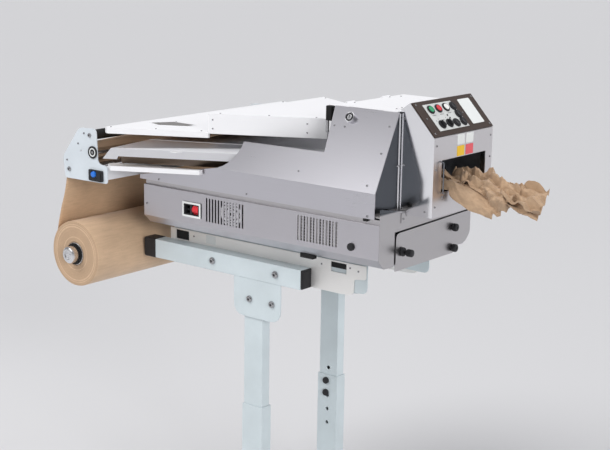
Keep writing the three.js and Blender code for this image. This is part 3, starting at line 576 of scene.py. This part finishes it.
core = single("wound_core", CARD, lathe, [(29, -340.9), (31.6, -340.9), (31.7, -340), (31.7, 340), (31.6, 340.9),
              (29, 340.9), (29, -340.9)], roll_centre, Y, 64, body="paper_roll")
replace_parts(core, "roll_core")

near_end = roll_centre - Y * (ROLL_HALF * MM)
hub = single("spindle_hub", ALUMINIUM, lathe, [
    (16.4, -47), (28.4, -47), (28.6, -46), (28.6, -3), (29.6, -1.2), (29.6, 0.2), (27, 1.4), (21.5, 1.6),
    (20.6, 2.4), (20.6, 8), (21.6, 9), (22.6, 10), (22.8, 20), (22, 23.4), (19.5, 25.8), (14, 27), (12.5, 26.8),
    (12, 24.5), (11.5, 24.1), (0, 24.1), (0, 12), (16.4, 12), (16.4, -47)], near_end, -Y, 64, body="paper_roll")
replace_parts(hub, "roll_hub")
single("hub_seal", RUBBER, lathe, [(21.2, 1.7), (28.2, 1.5), (28.8, 2.2), (28.6, 3.2), (22, 3.6), (21.2, 3.2),
       (21.2, 1.7)], near_end, -Y, 64, body="paper_roll")
bm = bmesh.new()
for t in circle(3, 0.4):
    screw(bm, near_end - Y * 0.0243 + spoke(t) * 0.0075, -Y, 2)
piece("hub_screws", bm, CHROME, "paper_roll")

# ---- paper web
GUIDE_X, GUIDE_Z, GUIDE_R = -916, 117, 13
WEB_HALF = 331.5


def share(value):
    return max(0, min(1, value))


def web_sheet():
    """Paper leaving the back of the roll, over the rear guide and between the infeed rollers."""
    rise = Vector((54, 190)).normalized()
    clear = 0.9
    line = []
    r = ROLL_R + clear
    leave = atan2(rise.x, -rise.y)
    for i in range(9):
        a = leave + radians(42) * (1 - i / 8)
        line.append((ROLL_X + r * cos(a), ROLL_Z + r * sin(a)))
    start = line[-1]
    wrap = GUIDE_R + clear
    first, last = pi - atan2(rise.x, rise.y), pi / 2 + atan2(64, 80)
    arc = [(GUIDE_X + wrap * cos(first + (last - first) * i / 10),
            GUIDE_Z + wrap * sin(first + (last - first) * i / 10)) for i in range(11)]
    for i in range(1, 22):
        t = i / 22
        line.append((start[0] + (arc[0][0] - start[0]) * t, start[1] + (arc[0][1] - start[1]) * t))
    line += arc
    for (x0, z0), (x1, z1), n in ((arc[-1], (-836, 196.3), 8), ((-836, 196.3), (-740, 222), 10),
                                  ((-740, 222), (-545, 226), 18)):
        line += [(x0 + (x1 - x0) * i / n, z0 + (z1 - z0) * i / n) for i in range(1, n + 1)]
    bm = bmesh.new()
    across = 72
    rows = []
    for x, z in line:
        half = WEB_HALF if x < -800 else WEB_HALF - 141 * ((x + 800) / 300) ** 0.9 * 0.98
        row = []
        for j in range(across + 1):
            s = -1 + 2 * j / across
            p = at(x, s * half, z)
            free = share((z + 60) / 60) * share((95 - z) / 60)
            ripple = noise.noise(Vector((s * 3.1, z * 0.011, 0.7))) * 2.4 * free
            edge = max(0, abs(s) - 0.86) / 0.14
            ripple += 2.2 * edge * edge * free * sin(z * 0.03 + s)
            flat = share((x + 800) / 80)
            lift = (noise.noise(Vector((x * 0.012, s * 2.6, 4.2))) * 1.2 + 0.3) * flat
            p += X * (max(ripple, -1) * MM) + Z * (lift * MM)
            row.append(bm.verts.new(p))
        rows.append(row)
    for a, b in zip(rows, rows[1:]):
        for j in range(across):
            bm.faces.new((a[j], a[j + 1], b[j + 1], b[j]))
    obj = piece("paper_web_sheet", bm, PAPER, angle=70)
    thick = obj.modifiers.new("thickness", "SOLIDIFY")
    thick.thickness = 0.0005
    thick.offset = 0
    return obj


web = web_sheet()
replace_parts(web, "paper_web")

# ---- infeed rollers and plates


def drum(name, x, z, radius, look, body, grooves=()):
    """Roller with stub shafts and, where asked, grooves round it."""
    half = 333.4
    profile = [(0, -half - 4), (5, -half - 4), (5, -half), (radius - 1, -half), (radius, -half + 1)]
    for g in grooves:
        profile += [(radius, g - 1.6), (radius - 1.2, g - 1.2), (radius - 1.2, g + 1.2), (radius, g + 1.6)]
    profile += [(radius, half - 1), (radius - 1, half), (5, half), (5, half + 4), (0, half + 4)]
    return single(name, look, lathe, profile, at(x, 0, z), Y, 48, body=body)


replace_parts(drum("rear_guide_drum", GUIDE_X, GUIDE_Z, GUIDE_R, CHROME, "rear_guide"), "rear_guide_roller")
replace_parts(drum("upper_guide_drum", -836, 214, 13, RUBBER, "upper_guide", range(-300, 301, 60)),
            "upper_guide_roller")
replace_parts(drum("lower_guide_drum", -824, 172, 9, CHROME, "lower_guide"), "lower_guide_roller")

for side, sign in SIDES:
    out, face = Y * sign, sign * 341.1
    spots = [(at(-916, face, 117), out, 6.5), (at(-836, face, 214), out, 6), (at(-880, face, 188), out, 3.4),
             (at(-857, face, 217), out, 3.4), (at(-924, face, 140), out, 3.4), (at(-790, face, 104), out, 3)]
    screws(f"plate_screws_{side}", spots)
    centre = at(-824.5, face, 171)
    single(f"plate_disc_{side}", BLACK, lathe, [(0, -0.1), (15.6, -0.1), (16.2, 0.6), (16.2, 2.6), (15.4, 3.4),
           (12.6, 3.4), (12.2, 2.4), (0, 2.4)], centre, out, 56)
    single(f"plate_disc_ring_{side}", BLANK, lathe, [(8.2, 2.3), (11.2, 2.3), (11.2, 2.9), (8.2, 2.9), (8.2, 2.3)],
           centre, out, 56)
    single(f"plate_disc_stud_{side}", SCREW, lathe, [(0, 2.3), (3.4, 2.3), (3.4, 3.2), (2.6, 3.8), (0, 4)], centre,
           out, 24)

# black switch housing on the near plate, with the blue button in its left half
bm = bmesh.new()
ring_slab(bm, rounded_y(-341.2, -837, -787, 97.5, 126.5, 3), rounded_y(-341.2, -827.5, -808.5, 105.5, 124.5, 4),
          Y * -0.006)
block(bm, -804, -791, -349, -347.1, 103, 121)
piece("infeed_switch_housing", bm, BLACK, bevel=0.0008)
cap = single("blue_push_cap", BLUE, lathe, [(0, -10), (6, -10), (6, 0.4), (7.6, 0.6), (7.9, 1.4), (7.9, 7.8),
             (7, 9.4), (5, 10.3), (0, 10.8)], at(-818, -341, 115), -Y, 40, body="infeed_button")
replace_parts(cap, "infeed_button")

# tie rods between the two end plates, below and behind the web's path
bm = bmesh.new()
for x, z in ((-790, 118), (-905, 100)):
    pipe(bm, [at(x, -337.8, z), at(x, 337.8, z)], 4.5, 24)
piece("infeed_tie_rods", bm, SCREW)

# ---- chute details


def half_at(x):
    return 96 + (234 - 96) / (-256 + 523) * (-256 - x)


# opening in the rear top plate with a thin folded rim; the grey sheet inside it is painted shade for the opening's
# inside
GRIP = [Vector(p) for p in ((-735, -223), (-685, -241), (-618, -206), (-622, -174), (-701, -170))]
grip_mid = sum(GRIP, Vector((0, 0))) / len(GRIP)


def grip_outline(grow):
    return [at(*(grip_mid + (p - grip_mid) * grow), 244.05) for p in GRIP]


single("grip_frame", WHITE_STEEL, ring_slab, grip_outline(1.05), grip_outline(1), Z * 0.0016, bevel=0.0004)
single("grip_hollow_painted_shade", OPENING_SHADE, slab, grip_outline(0.99), Z * 0.0005)
screws("grip_screws", [(at(-712, -213, 244.6), Z, 3), (at(-699, -164, 244.2), Z, 3)])

top_spots = [(at(x, sign * (half_at(x) - 12), 244.1), Z, 2.8) for _, sign in SIDES for x in (-755, -650, -545)]
top_spots += [(at(x, sign * (half_at(x) - 9), 290.1), Z, 2.6) for _, sign in SIDES for x in (-500, -390, -285)]
screws("chute_top_screws", top_spots)
wall_spots = [(at(x, sign * (half_at(x) + 0.05), z), Vector((0.459, sign * 0.8884, 0)), 2.6)
              for _, sign in SIDES for x, z in ((-512, 275), (-512, 253), (-300, 275), (-300, 253))]
screws("chute_wall_screws", wall_spots)

# black seal block between chute and near cover, and the small tab on the rail
single("chute_seal_block", RUBBER, block, -238, -220, -127, -112, 291, 327, bevel=0.002)
single("chute_seal_stem", SCREW, block, -241, -234, -122, -117, 262, 290, slot="steel", bevel=0.0006)
single("rail_tab", WHITE_STEEL, block, -605, -581, -half_at(-605) - 9, -half_at(-581) - 1, 190, 192, bevel=0.0004)

# ---- casing details
NEAR, FAR = -228.5, 162
single("casing_clip", RUBBER, block, -248, -208, -206, -190, -35, -23.2, bevel=0.0015)
single("casing_plug", BLACK, lathe, [(0, -1), (8.6, -1), (9.2, 0.4), (9.2, 3.4), (8, 5.4), (5, 6.2), (0, 6.4)],
       at(-79, NEAR - 0.1, 22), -Y, 36)
screws("casing_screws", [(at(-744, NEAR - 0.1, 32), -Y, 4), (at(-744, FAR + 0.1, 32), Y, 4),
                         (at(-12, FAR + 0.1, 32), Y, 4), (at(-380, FAR + 0.1, 70), Y, 3.4)])

# pale surround of the mains inlet
single("inlet_surround", BLANK, ring_slab, rounded_y(NEAR - 2.35, -614.6, -551.4, 17.4, 56.6, 2),
       rounded_y(NEAR - 2.35, -609.5, -556.5, 22.5, 51.5, 1.5), Y * -0.0008, bevel=0.0002)

# closed band between the side panel and the cover above it
single("seam_band", FACE, block, -754, -0.4, NEAR + 7.7, NEAR + 8.4, 77, 94)

# fan guard behind the rear louvres and a mesh screen behind the front ones
fan_centre = at(-453, NEAR + 2.4, 44)


def round_loop(centre, radius):
    return [centre + spoke(t) * (radius * MM) for t in circle(48)]


bm = bmesh.new()
for r in (4, 10.5, 17, 23.5, 30):
    ring_slab(bm, round_loop(fan_centre, r + 3.6), round_loop(fan_centre, r), Y * 0.0008)
for i, t in enumerate(circle(20)):
    out, side = spoke(t), Z * cos(t) - X * sin(t)
    r0 = 4 if i % 2 == 0 else 18
    slab(bm, [fan_centre + Y * 0.0009 + out * (a * MM) + side * (b * MM)
              for a, b in ((r0, -1.2), (33, -1.2), (33, 1.2), (r0, 1.2))], Y * 0.0006)
piece("fan_guard", bm, WHITE_STEEL, slot="chrome")
bm = bmesh.new()
lathe(bm, [(0, 8), (14, 8), (14, 14), (0, 14)], fan_centre, Y, 24)
for t in circle(7):
    blade = [fan_centre + Y * 0.010 + (X * cos(t + dt) + Z * sin(t + dt)) * (rad * MM)
             for rad, dt in ((12, 0), (33, 0.1), (34, 0.6), (12, 0.7))]
    slab(bm, blade, Y * 0.001)
piece("fan_blades", bm, BLACK)
bm = bmesh.new()
for i in range(18):
    block(bm, -246 + i * 7, -243 + i * 7, NEAR + 3, NEAR + 3.6, 10, 79)
for i in range(10):
    block(bm, -246, -120, NEAR + 3.8, NEAR + 4.4, 11 + i * 7, 13.4 + i * 7)
piece("louvre_screen", bm, ZINC)

# screws in the leaning covers
LEAN = Vector((0, -0.8944, 0.4472))


def on_cover(x, z):
    """Point on the near cover's leaning face or its skirt, and its outward axis."""
    if z < 155:
        return at(x, NEAR - 0.1, z), -Y
    return at(x, NEAR + (z - 155) / (332 - 155) * (-140 - NEAR), z) + LEAN * (0.1 * MM), LEAN


cover_spots = [(*on_cover(x, z), r) for x, z, r in (
    (-247, 178, 3), (-43, 170, 3.4), (-154, 288, 3), (-184, 288, 3), (-31, 241, 3.2), (-31, 300, 3),
    (-35, 101, 3.6), (-400, 103, 3), (-700, 101, 3))]
screws("cover_screws_near", cover_spots)
lean_far = Vector((0, 0.9957, 0.0925)).normalized()
far_spots = []
for x, z in ((-60, 110), (-60, 300), (-180, 300), (-300, 110), (-700, 101)):
    y = 162 + (z - 95) / (332 - 95) * (140 - 162)
    far_spots.append((at(x, y + 0.1, z), lean_far, 3.2))
screws("cover_screws_far", far_spots)
single("cover_rest", RUBBER, block, -48, -36, NEAR + 0.4, NEAR + 7, 88, 94.6, bevel=0.001)

screws("lid_screws", [(at(x, y, 334.4), Z, 2.6) for x, y in ((-48, -104), (-49, -81), (-174, 98), (-48, 98),
                                                             (-186, -81), (-186, 66))], "roof_lid")

# quarter-turn lock: bright collar, dark barrel and a key slot; the black disc round the barrel and the black key
# slot are painted shade on the chrome lock
lock_face = at(-142, -140 - 24 * 88.5 / 177, 308) + LEAN * 0.0083
single("lock_collar", CHROME, lathe, [(10.2, 0.1), (12.8, 0.1), (12.8, 1.2), (11.8, 2), (10.6, 1.6), (10.2, 0.1)],
       lock_face, LEAN, 48, body="lid_lock")
single("lock_recess_painted_shade", RUBBER, lathe, [(0, 0.1), (9.6, 0.1), (9.6, 0.5), (0, 0.5)], lock_face, LEAN, 40,
       body="lid_lock", slot="chrome")
single("lock_barrel", CHROME, lathe, [(0, 0.4), (6.4, 0.4), (6.4, 1.4), (5.8, 1.9), (0, 1.9)], lock_face, LEAN, 36,
       body="lid_lock")
lock_up = X.cross(LEAN)
single("lock_key_slot_painted_shade", RUBBER, slab,
       [lock_face + LEAN * 0.0019 + X * (a * MM) + lock_up * (b * MM) for a, b in corners(0.9, 4.2)],
       LEAN * 0.0002, body="lid_lock", slot="chrome")

# ---- hood details
bm = bmesh.new()
pipe(bm, [at(-17.6, -134, 99), at(-17.6, -134, 329)], 2.6, 20)
pipe(bm, [at(-17.6, -143, 208), at(-17.6, -129.5, 208)], 1.7, 12)
piece("corner_rod", bm, CHROME)
single("corner_tab", FACE, slab, rounded_x(2.1, -146, -129.5, 76, 100, 3), X * 0.0016, bevel=0.0003)
single("front_plate_lip", FRONT_STEEL, slab,
       [at(0.1, a, b) for a, b in ((-228.5, 108), (-140, 100), (-140, 104.2), (-228.5, 121))], X * 0.0013)
single("ledge_liner", LINER, block, -18.7, -0.3, -224.5, -134, 101.2, 101.8)
screws("corner_tab_screw", [(at(3.8, -138, 86), X, 3.4), (at(-12, -139, 208), X, 2.4)])
single("wall_buffer", RUBBER, lathe, [(0, -0.6), (5.4, -0.6), (6, 0.4), (6, 3.6), (5, 5), (0, 5.2)],
       at(-18.9, -176, 106), X, 28)

HOOD_X = 75.1
rod_path = [at(75.2, -99, 224), at(84, -99, 222), at(84, -99, 152), at(80, -86, 149), at(75.2, -84, 149)]
single("exit_guard_rod", DARK_STEEL, pipe, rounded_path(rod_path, 0.0035), 1.7, 12)
hood_spots = [(at(HOOD_X, y, z), X, 3.2) for y, z in (
    (-118, 207), (-88, 140), (-118, 120), (119, 210), (119, 120), (-118, 262), (119, 262))]
hood_spots += [(at(x, sign * 128.6, z), Y * sign, 3)
               for _, sign in SIDES for x, z in ((55, 108), (-8, 108), (-8, 318))]
screws("hood_screws", hood_spots)
for name, y0, y1, look in (("blank_yellow_label", -31, 1, YELLOW), ("blank_red_label", 7, 40, ROSE)):
    for i, (z0, z1) in enumerate(((256, 280), (229, 253))):
        single(f"{name}_{i}", look if i else BLANK, slab, rounded_x(75.05, y0, y1, z0 - 1, z1 - 1, 1.5), X * 0.0003)

# opening's folded rim
single("exit_rim", DARK_STEEL, ring_slab, rounded_x(72.6, -95.6, 100.6, 149.4, 227.6, 2),
       rounded_x(72.6, -94, 99, 151, 226, 1.5), X * -0.012)

# ---- control panel
PANEL_N = Vector((0.7334898, 0, 0.6797005))
PANEL_U = Vector((-0.6797005, 0, 0.7334898))
panel_origin = at(75, 0, 280)


def on_panel(out, across, up):
    """Row-frame point on the sloping panel, from millimetres out of it, across it and up it."""
    return panel_origin + (PANEL_N * out + Y * across + PANEL_U * up) * MM


PUSHES = (("green", -78, 73, GREEN), ("red", -46, 73, RED), ("white", -14, 73, WHITE),
          ("black_upper", 16, 73, BLACK), ("black_middle", 17, 50, BLACK),
          ("black_lower", 17, 28, BLACK), ("black_inner", -12, 28, BLACK))
SELECTORS = (("left", -72, 30), ("right", -41, 30))
PLATE = 4.65
bm = bmesh.new()
for _, y, u, *_ in (*PUSHES, *SELECTORS):
    lathe(bm, [(8.6, PLATE), (11.2, PLATE), (11.7, PLATE + 0.7), (11.4, PLATE + 2.2), (10.3, PLATE + 3.4),
               (9, PLATE + 3.6), (8.6, PLATE + 2.4), (8.6, PLATE)], on_panel(0, y, u), PANEL_N, 48)
piece("control_collars", bm, BLACK)
for name, y, u, look in PUSHES:
    cap = single(f"push_cap_{name}", look, lathe, [(0, -15), (7, -15), (7, 1.5), (7.9, 1.7), (8, 3), (8, 8.4),
                 (7.2, 9.4), (5.8, 9.5), (4.8, 9.1), (0, 8.9)], on_panel(0, y, u), PANEL_N, 48,
                 body=f"button_{name}")
    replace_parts(cap, f"button_{name}")
for name, y, u in SELECTORS:
    bm = bmesh.new()
    origin = on_panel(0, y, u)
    lathe(bm, [(0, -15), (7, -15), (7, 1.5), (7.9, 1.7), (8, 3), (8, 6), (7.4, 6.8), (0, 6.8)], origin, PANEL_N, 48)
    grip = [(-8, -2), (-6.6, -2.9), (6.6, -2.9), (8, -2), (8, 2), (6.6, 2.9), (-6.6, 2.9), (-8, 2)]
    slab(bm, [origin + (PANEL_N * 6 + PANEL_U * a + Y * b) * MM for a, b in grip], PANEL_N * 0.008)
    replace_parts(piece(f"selector_cap_{name}", bm, BLACK, f"selector_{name}", bevel=0.0005), f"selector_{name}")
    mark = [(2, -0.6), (7.4, -0.6), (7.4, 0.6), (2, 0.6)]
    single(f"selector_mark_{name}", WHITE, slab,
           [origin + (PANEL_N * 14.05 + PANEL_U * a + Y * b) * MM for a, b in mark], PANEL_N * 0.0003,
           body=f"selector_{name}")

single("panel_blank_window", BLANK, slab,
       [on_panel(3.45, a, b) for a, b in rounded(52, 103, 17, 89, 3)], PANEL_N * (0.9 * MM), bevel=0.0002)
bm = bmesh.new()
for a, u in ((-28, 52), (-25, 44)):
    lathe(bm, [(0, PLATE), (2.2, PLATE), (2.2, PLATE + 0.8), (1.4, PLATE + 1.6), (0, PLATE + 1.8)],
          on_panel(0, a, u), PANEL_N, 20)
piece("panel_pilot_lamps", bm, BLACK)
bm = bmesh.new()
for a in (-78, -46, -14, 16):
    slab(bm, [on_panel(PLATE, a + da, 57 + du) for da, du in corners(8, 0.5)], PANEL_N * 0.0001)
for a in (-72, -41):
    for k in (-1, 0, 1):
        t = radians(45 * k)
        mid_a, mid_u = a + 16.5 * sin(t), 30 + 16.5 * cos(t)
        slab(bm, [on_panel(PLATE, mid_a + da, mid_u + du) for da, du in corners(0.7, 1.5)], PANEL_N * 0.0001)
piece("panel_marks", bm, BLACK)
panel_spots = [(on_panel(3.4, a, u), PANEL_N, 3) for a in (-119, 119) for u in (10, 92)] + [
    (on_panel(3.4, -112, 52), PANEL_N, 2.6), (on_panel(3.4, 41, 52), PANEL_N, 2.2)]
screws("panel_screws", panel_spots)

# ---- access door
bm = bmesh.new()
for z in (30, -22):
    lathe(bm, [(0, 0), (7.2, 0), (7.2, 2), (9.4, 2.6), (9.8, 4), (9.8, 11), (9, 13), (6.6, 14), (3, 14),
               (2.6, 12.6), (0, 12.6)], at(3.1, 80, z), X, 40)
piece("door_knobs", bm, BLACK, "front_door")
PIN_Y, PIN_Z = -140, 8
single("plunger_collar", BLACK, lathe, [(5.6, 3.1), (10.4, 3.1), (10.8, 4), (10.8, 8.6), (9.8, 10.4), (6.8, 11),
       (5.6, 11), (5.6, 3.1)], at(0, PIN_Y, PIN_Z), X, 40, body="front_door")
bm = bmesh.new()
profile = [(0, -7), (4.2, -7), (4.8, -6), (4.8, 10), (3.5, 11.5), (3.5, 18.6), (6.6, 19), (8.8, 20)]
for i in range(5):
    profile += [(9, 21 + 2 * i), (8.2, 22 + 2 * i)]
lathe(bm, profile + [(9, 31), (8.4, 33), (6, 34), (0, 34.2)], at(0, PIN_Y, PIN_Z), X, 40)
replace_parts(piece("plunger_knob", bm, BLACK, "door_plunger"), "door_plunger")

# black blocks behind the upper part of the cradle plates' windows: painted shade for the dark gap at each window's
# top
for side, sign in SIDES:
    bm = bmesh.new()
    for x0, x1, low in ((-202.5, -156.5, -64), (-723.5, -678.5, -74)):
        y0, y1 = sorted((sign * 137.2, sign * 138.8))
        block(bm, x0, x1, y0, y1, low, -50.5)
    piece(f"window_painted_shade_{side}", bm, RUBBER)

# blank label on the near cradle plate
single("cradle_blank_label", BLANK, slab, rounded_y(-139.75, -616, -583, -71, -49, 1), Y * -0.0003)
plate_spots = [(at(x, sign * 139.8, z), Y * sign, 3) for _, sign in SIDES for x, z in (
    (-232, -62), (-145, -58), (-120, -62), (-660, -60))]
screws("cradle_plate_screws", plate_spots)

# ---- crumpled paper


def fold(value):
    """Triangle wave between -1 and 1 with sharp crests and troughs."""
    return 4 * abs(value % 1 - 0.5) - 1


def between(keys, s):
    """Smooth curve through evenly spaced keys, which are numbers or vectors."""
    last = len(keys) - 1
    i = min(int(s * last), last - 1)
    t = s * last - i
    p0, p1, p2, p3 = keys[max(i - 1, 0)], keys[i], keys[i + 1], keys[min(i + 2, last)]
    return (p1 * 2 + (p2 - p0) * t + (p0 * 2 - p1 * 5 + p2 * 4 - p3) * (t * t)
            + (p1 * 3 - p0 - p2 * 3 + p3) * (t ** 3)) * 0.5


# millimetres: depth of the finest crumpling, spacing of the mesh, thickness of a layer
RIDGE, STEP, LAYER = 2.4, 1.7, 1.3
# room in the exit opening, up to EXIT_X, and the furthest point of the paper
EXIT_X, EXIT_Y, EXIT_Z, PAD_END = 82, (-87, 92), (153.5, 221), 311.5


def crease_set(rng, strength):
    """Straight creases at four scales: direction, wavelength, depth and where they fade."""
    return [(rng.uniform(-1.25, 1.25), scale * rng.uniform(0.8, 1.25), rng.random(),
             depth * strength * rng.uniform(0.7, 1.2), Vector([rng.uniform(-9, 9) for _ in range(3)]))
            for scale, depth, count in ((60, 6, 2), (32, 4, 3), (17, 1.8, 2), (9, 0.6, 2))
            for _ in range(count)]


def crumple(creases, a, b):
    """Height of the creased paper at a point along and across it."""
    total = 0
    for turn, wavelength, phase, depth, seed in creases:
        here = Vector((a, b, 0)) * 0.014 + seed
        u = (a * sin(turn) + b * cos(turn)) / wavelength + phase + 0.3 * noise.noise(here)
        total += fold(u) * depth * max(0.05, 0.6 + 1.1 * noise.noise(here * 1.7))
    spot = Vector((a * 0.6, b, 0)) * 0.030 + creases[0][4]
    return total + RIDGE * (noise.ridged_multi_fractal(spot, 1, 2, 2, 1, 2) - 0.8)


def sheet(bm, seed, path, widths, rolls, pleats, curl, skew, strength):
    """One creased layer of paper, swept along a path of machine points."""
    creases = crease_set(random.Random(seed), strength)
    path = [Vector(p) for p in path]
    length = sum((q - p).length for p, q in zip(path, path[1:]))
    rows, columns = int(length / STEP), int(2 * max(widths) / STEP)
    grids = ([], [])
    for i in range(rows + 1):
        s = i / rows
        centre = between(path, s)
        ahead = (between(path, min(1, s + 0.01)) - between(path, max(0, s - 0.01))).normalized()
        across = (Y - ahead * ahead.dot(Y)).normalized()
        up = ahead.cross(across)
        roll, width = between(rolls, s), between(widths, s)
        side = across * cos(roll) + up * sin(roll)
        normal = up * cos(roll) - across * sin(roll)
        lines = ([], [])
        for j in range(columns + 1):
            w = 2 * j / columns - 1
            a, b = s * length, w * width
            edge = 1 + 0.09 * noise.noise(Vector((a * 0.035, seed, 1 if w > 0 else -1))) * abs(w) ** 3
            lift = crumple(creases, a, b) + pleats[1] * fold(pleats[0] * (w + 1) / 2 + 0.35 * s + 0.1 * seed)
            lift -= curl * w * w
            ragged = 3 * noise.noise(Vector((b * 0.05, seed, 3))) * (2 * s - 1) ** 9
            spot = centre + side * (b * edge) + normal * lift + ahead * (ragged - skew * w * s)
            for line, offset in zip(lines, (0.5, -0.5)):
                p = spot + normal * (offset * LAYER)
                if p.x < EXIT_X:
                    p.y, p.z = (max(low, min(high, q)) for q, (low, high) in ((p.y, EXIT_Y), (p.z, EXIT_Z)))
                line.append(bm.verts.new(at(min(p.x, PAD_END), p.y, p.z)))
        for grid, line in zip(grids, lines):
            grid.append(line)
    top, low = grids
    for i in range(rows):
        for j in range(columns):
            bm.faces.new((top[i][j], top[i + 1][j], top[i + 1][j + 1], top[i][j + 1]))
            bm.faces.new((low[i][j], low[i][j + 1], low[i + 1][j + 1], low[i + 1][j]))
        for j in (0, columns):
            bm.faces.new((top[i][j], low[i][j], low[i + 1][j], top[i + 1][j]))
    for j in range(columns):
        for i in (0, rows):
            bm.faces.new((top[i][j], top[i][j + 1], low[i][j + 1], low[i][j]))


bm = bmesh.new()
# wide sheet over the top, near flap, hanging fringe, inner folds and the drooping tail
sheet(bm, 3, [(26, 8, 178), (76, 8, 179), (115, 4, 177), (155, -4, 171), (195, -10, 163), (232, -12, 156)],
      [44, 52, 46, 38, 32, 29], [0, 0.03, 0.22, 0.42, 0.5, 0.5], (2, 9), 6, 0, 1.6)
sheet(bm, 5, [(26, -44, 170), (76, -46, 170), (106, -50, 158), (138, -46, 144), (166, -40, 132), (184, -34, 122)],
      [24, 28, 31, 33, 30, 26], [0.15, 0.3, 0.7, 0.95, 1, 1], (1, 4), 10, 8, 0.6)
sheet(bm, 8, [(80, -10, 160), (112, -12, 148), (150, -14, 136), (186, -18, 124), (204, -20, 118)],
      [46, 42, 36, 30, 24], [0.3, 0.5, 0.7, 0.8, 0.8], (2, 8), 3, -6, 1.5)
sheet(bm, 11, [(30, 20, 164), (80, 18, 163), (130, 10, 160), (180, -2, 154), (222, -10, 148)],
      [50, 56, 48, 38, 30], [0, 0, 0.3, 0.5, 0.5], (3, 9), 0, 0, 1.6)
sheet(bm, 14, [(140, -26, 158), (170, -28, 150), (198, -28, 141), (220, -26, 133)],
      [20, 26, 24, 18], [0.9, 1, 0.9, 0.8], (1, 8), 6, 0, 1.2)
sheet(bm, 17, [(200, -14, 158), (228, -12, 157), (262, -9, 152), (297, -9, 144)],
      [22, 32, 41, 43], [0.5, 0.5, 0.48, 0.46], (3, 7.5), -3, 13, 1.2)
sheet(bm, 19, [(196, -16, 148), (228, -16, 147), (262, -13, 142), (290, -11, 136)],
      [22, 32, 40, 41], [0.5, 0.5, 0.5, 0.5], (2, 6), 4, 13, 0.9)
pad = piece("crumpled_pad", bm, PAD_PAPER, angle=24)
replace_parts(pad, "paper_pad")

# ---- floor, light, camera


floor_mesh = bpy.data.meshes.new("floor")
REACH = 150
floor_mesh.from_pydata([(-REACH, -REACH, 0), (REACH, -REACH, 0), (REACH, REACH, 0), (-REACH, REACH, 0)],
                       [], [(0, 1, 2, 3)])
floor_mesh.materials.append(Look("floor", (0.62, 0.62, 0.63), 0.75).mat)
placed("floor", floor_mesh)


def light(name, data, place, turn):
    obj = placed(name, data)
    obj.location = place
    obj.rotation_mode = "QUATERNION"
    obj.rotation_quaternion = turn
    return obj


def area_light(name, place, target, size, power):
    data = bpy.data.lights.new(name, "AREA")
    data.shape = "RECTANGLE"
    data.size, data.size_y = size
    data.energy = power
    light(name, data, place, (Vector(target) - Vector(place)).to_track_quat("-Z", "Y"))


def sun_light(name, place, power, spread):
    """Distant light that brightens matt surfaces without showing up in polished ones."""
    data = bpy.data.lights.new(name, "SUN")
    data.energy, data.angle = power, spread
    light(name, data, place, Vector(place).to_track_quat("Z", "Y")).visible_glossy = False


area_light("top_light", (0.2, -0.3, 3.6), (0.1, 0, 1), (3, 2.4), 14)
area_light("left_light", (-1.3, -2.95, 2.42), (0.2, -0.2, 1.1), (1.9, 1.5), 13)
area_light("floor_wash", (-1.6, -3.2, 2.6), (-2, -4, 0), (3, 3), 14)
sun_light("key_light", (-3, -5, 6.5), 1.55, 0.5)
sun_light("fill_light", (7, -3.5, 2.2), 1.6, 0.4)

world = bpy.data.worlds.new("studio")
SCENE.world = world
world.use_nodes = True
sky_tree = world.node_tree
world_way = add_node(sky_tree, "ShaderNodeTexCoord").outputs["Generated"]
way = add_node(sky_tree, "ShaderNodeSeparateXYZ", {0: world_way}).outputs


def sky_ramp(stops):
    """Grey by height, from pairs of (sine of the elevation, brightness)."""
    ramp = add_node(sky_tree, "ShaderNodeValToRGB", {"Fac": way["Z"]})
    keys = ramp.color_ramp.elements
    while len(keys) < len(stops):
        keys.new(0.5)
    for key, (height, value) in zip(keys, stops):
        key.position = height
        key.color = (value, value, value * 1.03, 1)
    return ramp.outputs["Color"]


front_sky = sky_ramp(((0, 0.62), (0.22, 0.40), (0.48, 0.30), (0.72, 0.55), (1, 1)))
back_sky = sky_ramp(((0, 0.92), (0.3, 1), (0.6, 0.95), (0.8, 0.85), (1, 1)))
behind = add_node(sky_tree, "ShaderNodeMapRange", {"From Min": -0.35, "From Max": 0.3, "Value": way["Y"]})
sky = add_node(sky_tree, "ShaderNodeMix",
               {"Factor": behind.outputs["Result"], "A": front_sky, "B": back_sky}, data_type="RGBA")
SKY_STRENGTH = 0.72
fill(sky_tree.nodes["Background"], {"Color": sky.outputs["Result"], "Strength": SKY_STRENGTH})
SCENE.view_settings.view_transform = "Standard"

# The camera's direction and place were solved from the photo's perspective.
AZIMUTH, PITCH, BANK = (radians(v) for v in (38.303, 12.721, 0.8665))
view = Vector((-sin(AZIMUTH) * cos(PITCH), cos(AZIMUTH) * cos(PITCH), -sin(PITCH)))
right = Vector((cos(AZIMUTH), sin(AZIMUTH), 0))
up = right.cross(view)
cam_right = right * cos(BANK) + up * sin(BANK)
cam_up = up * cos(BANK) - right * sin(BANK)
cam_data = bpy.data.cameras.new("camera")
cam_data.lens = 77.51
cam_data.sensor_width = 36
cam_data.clip_end = 400
camera = placed("camera", cam_data)
basis = Matrix((cam_right, cam_up, -view)).transposed().to_4x4()
basis.translation = Vector((2.010, -2.616, 1.640))
camera.matrix_world = basis
SCENE.camera = camera
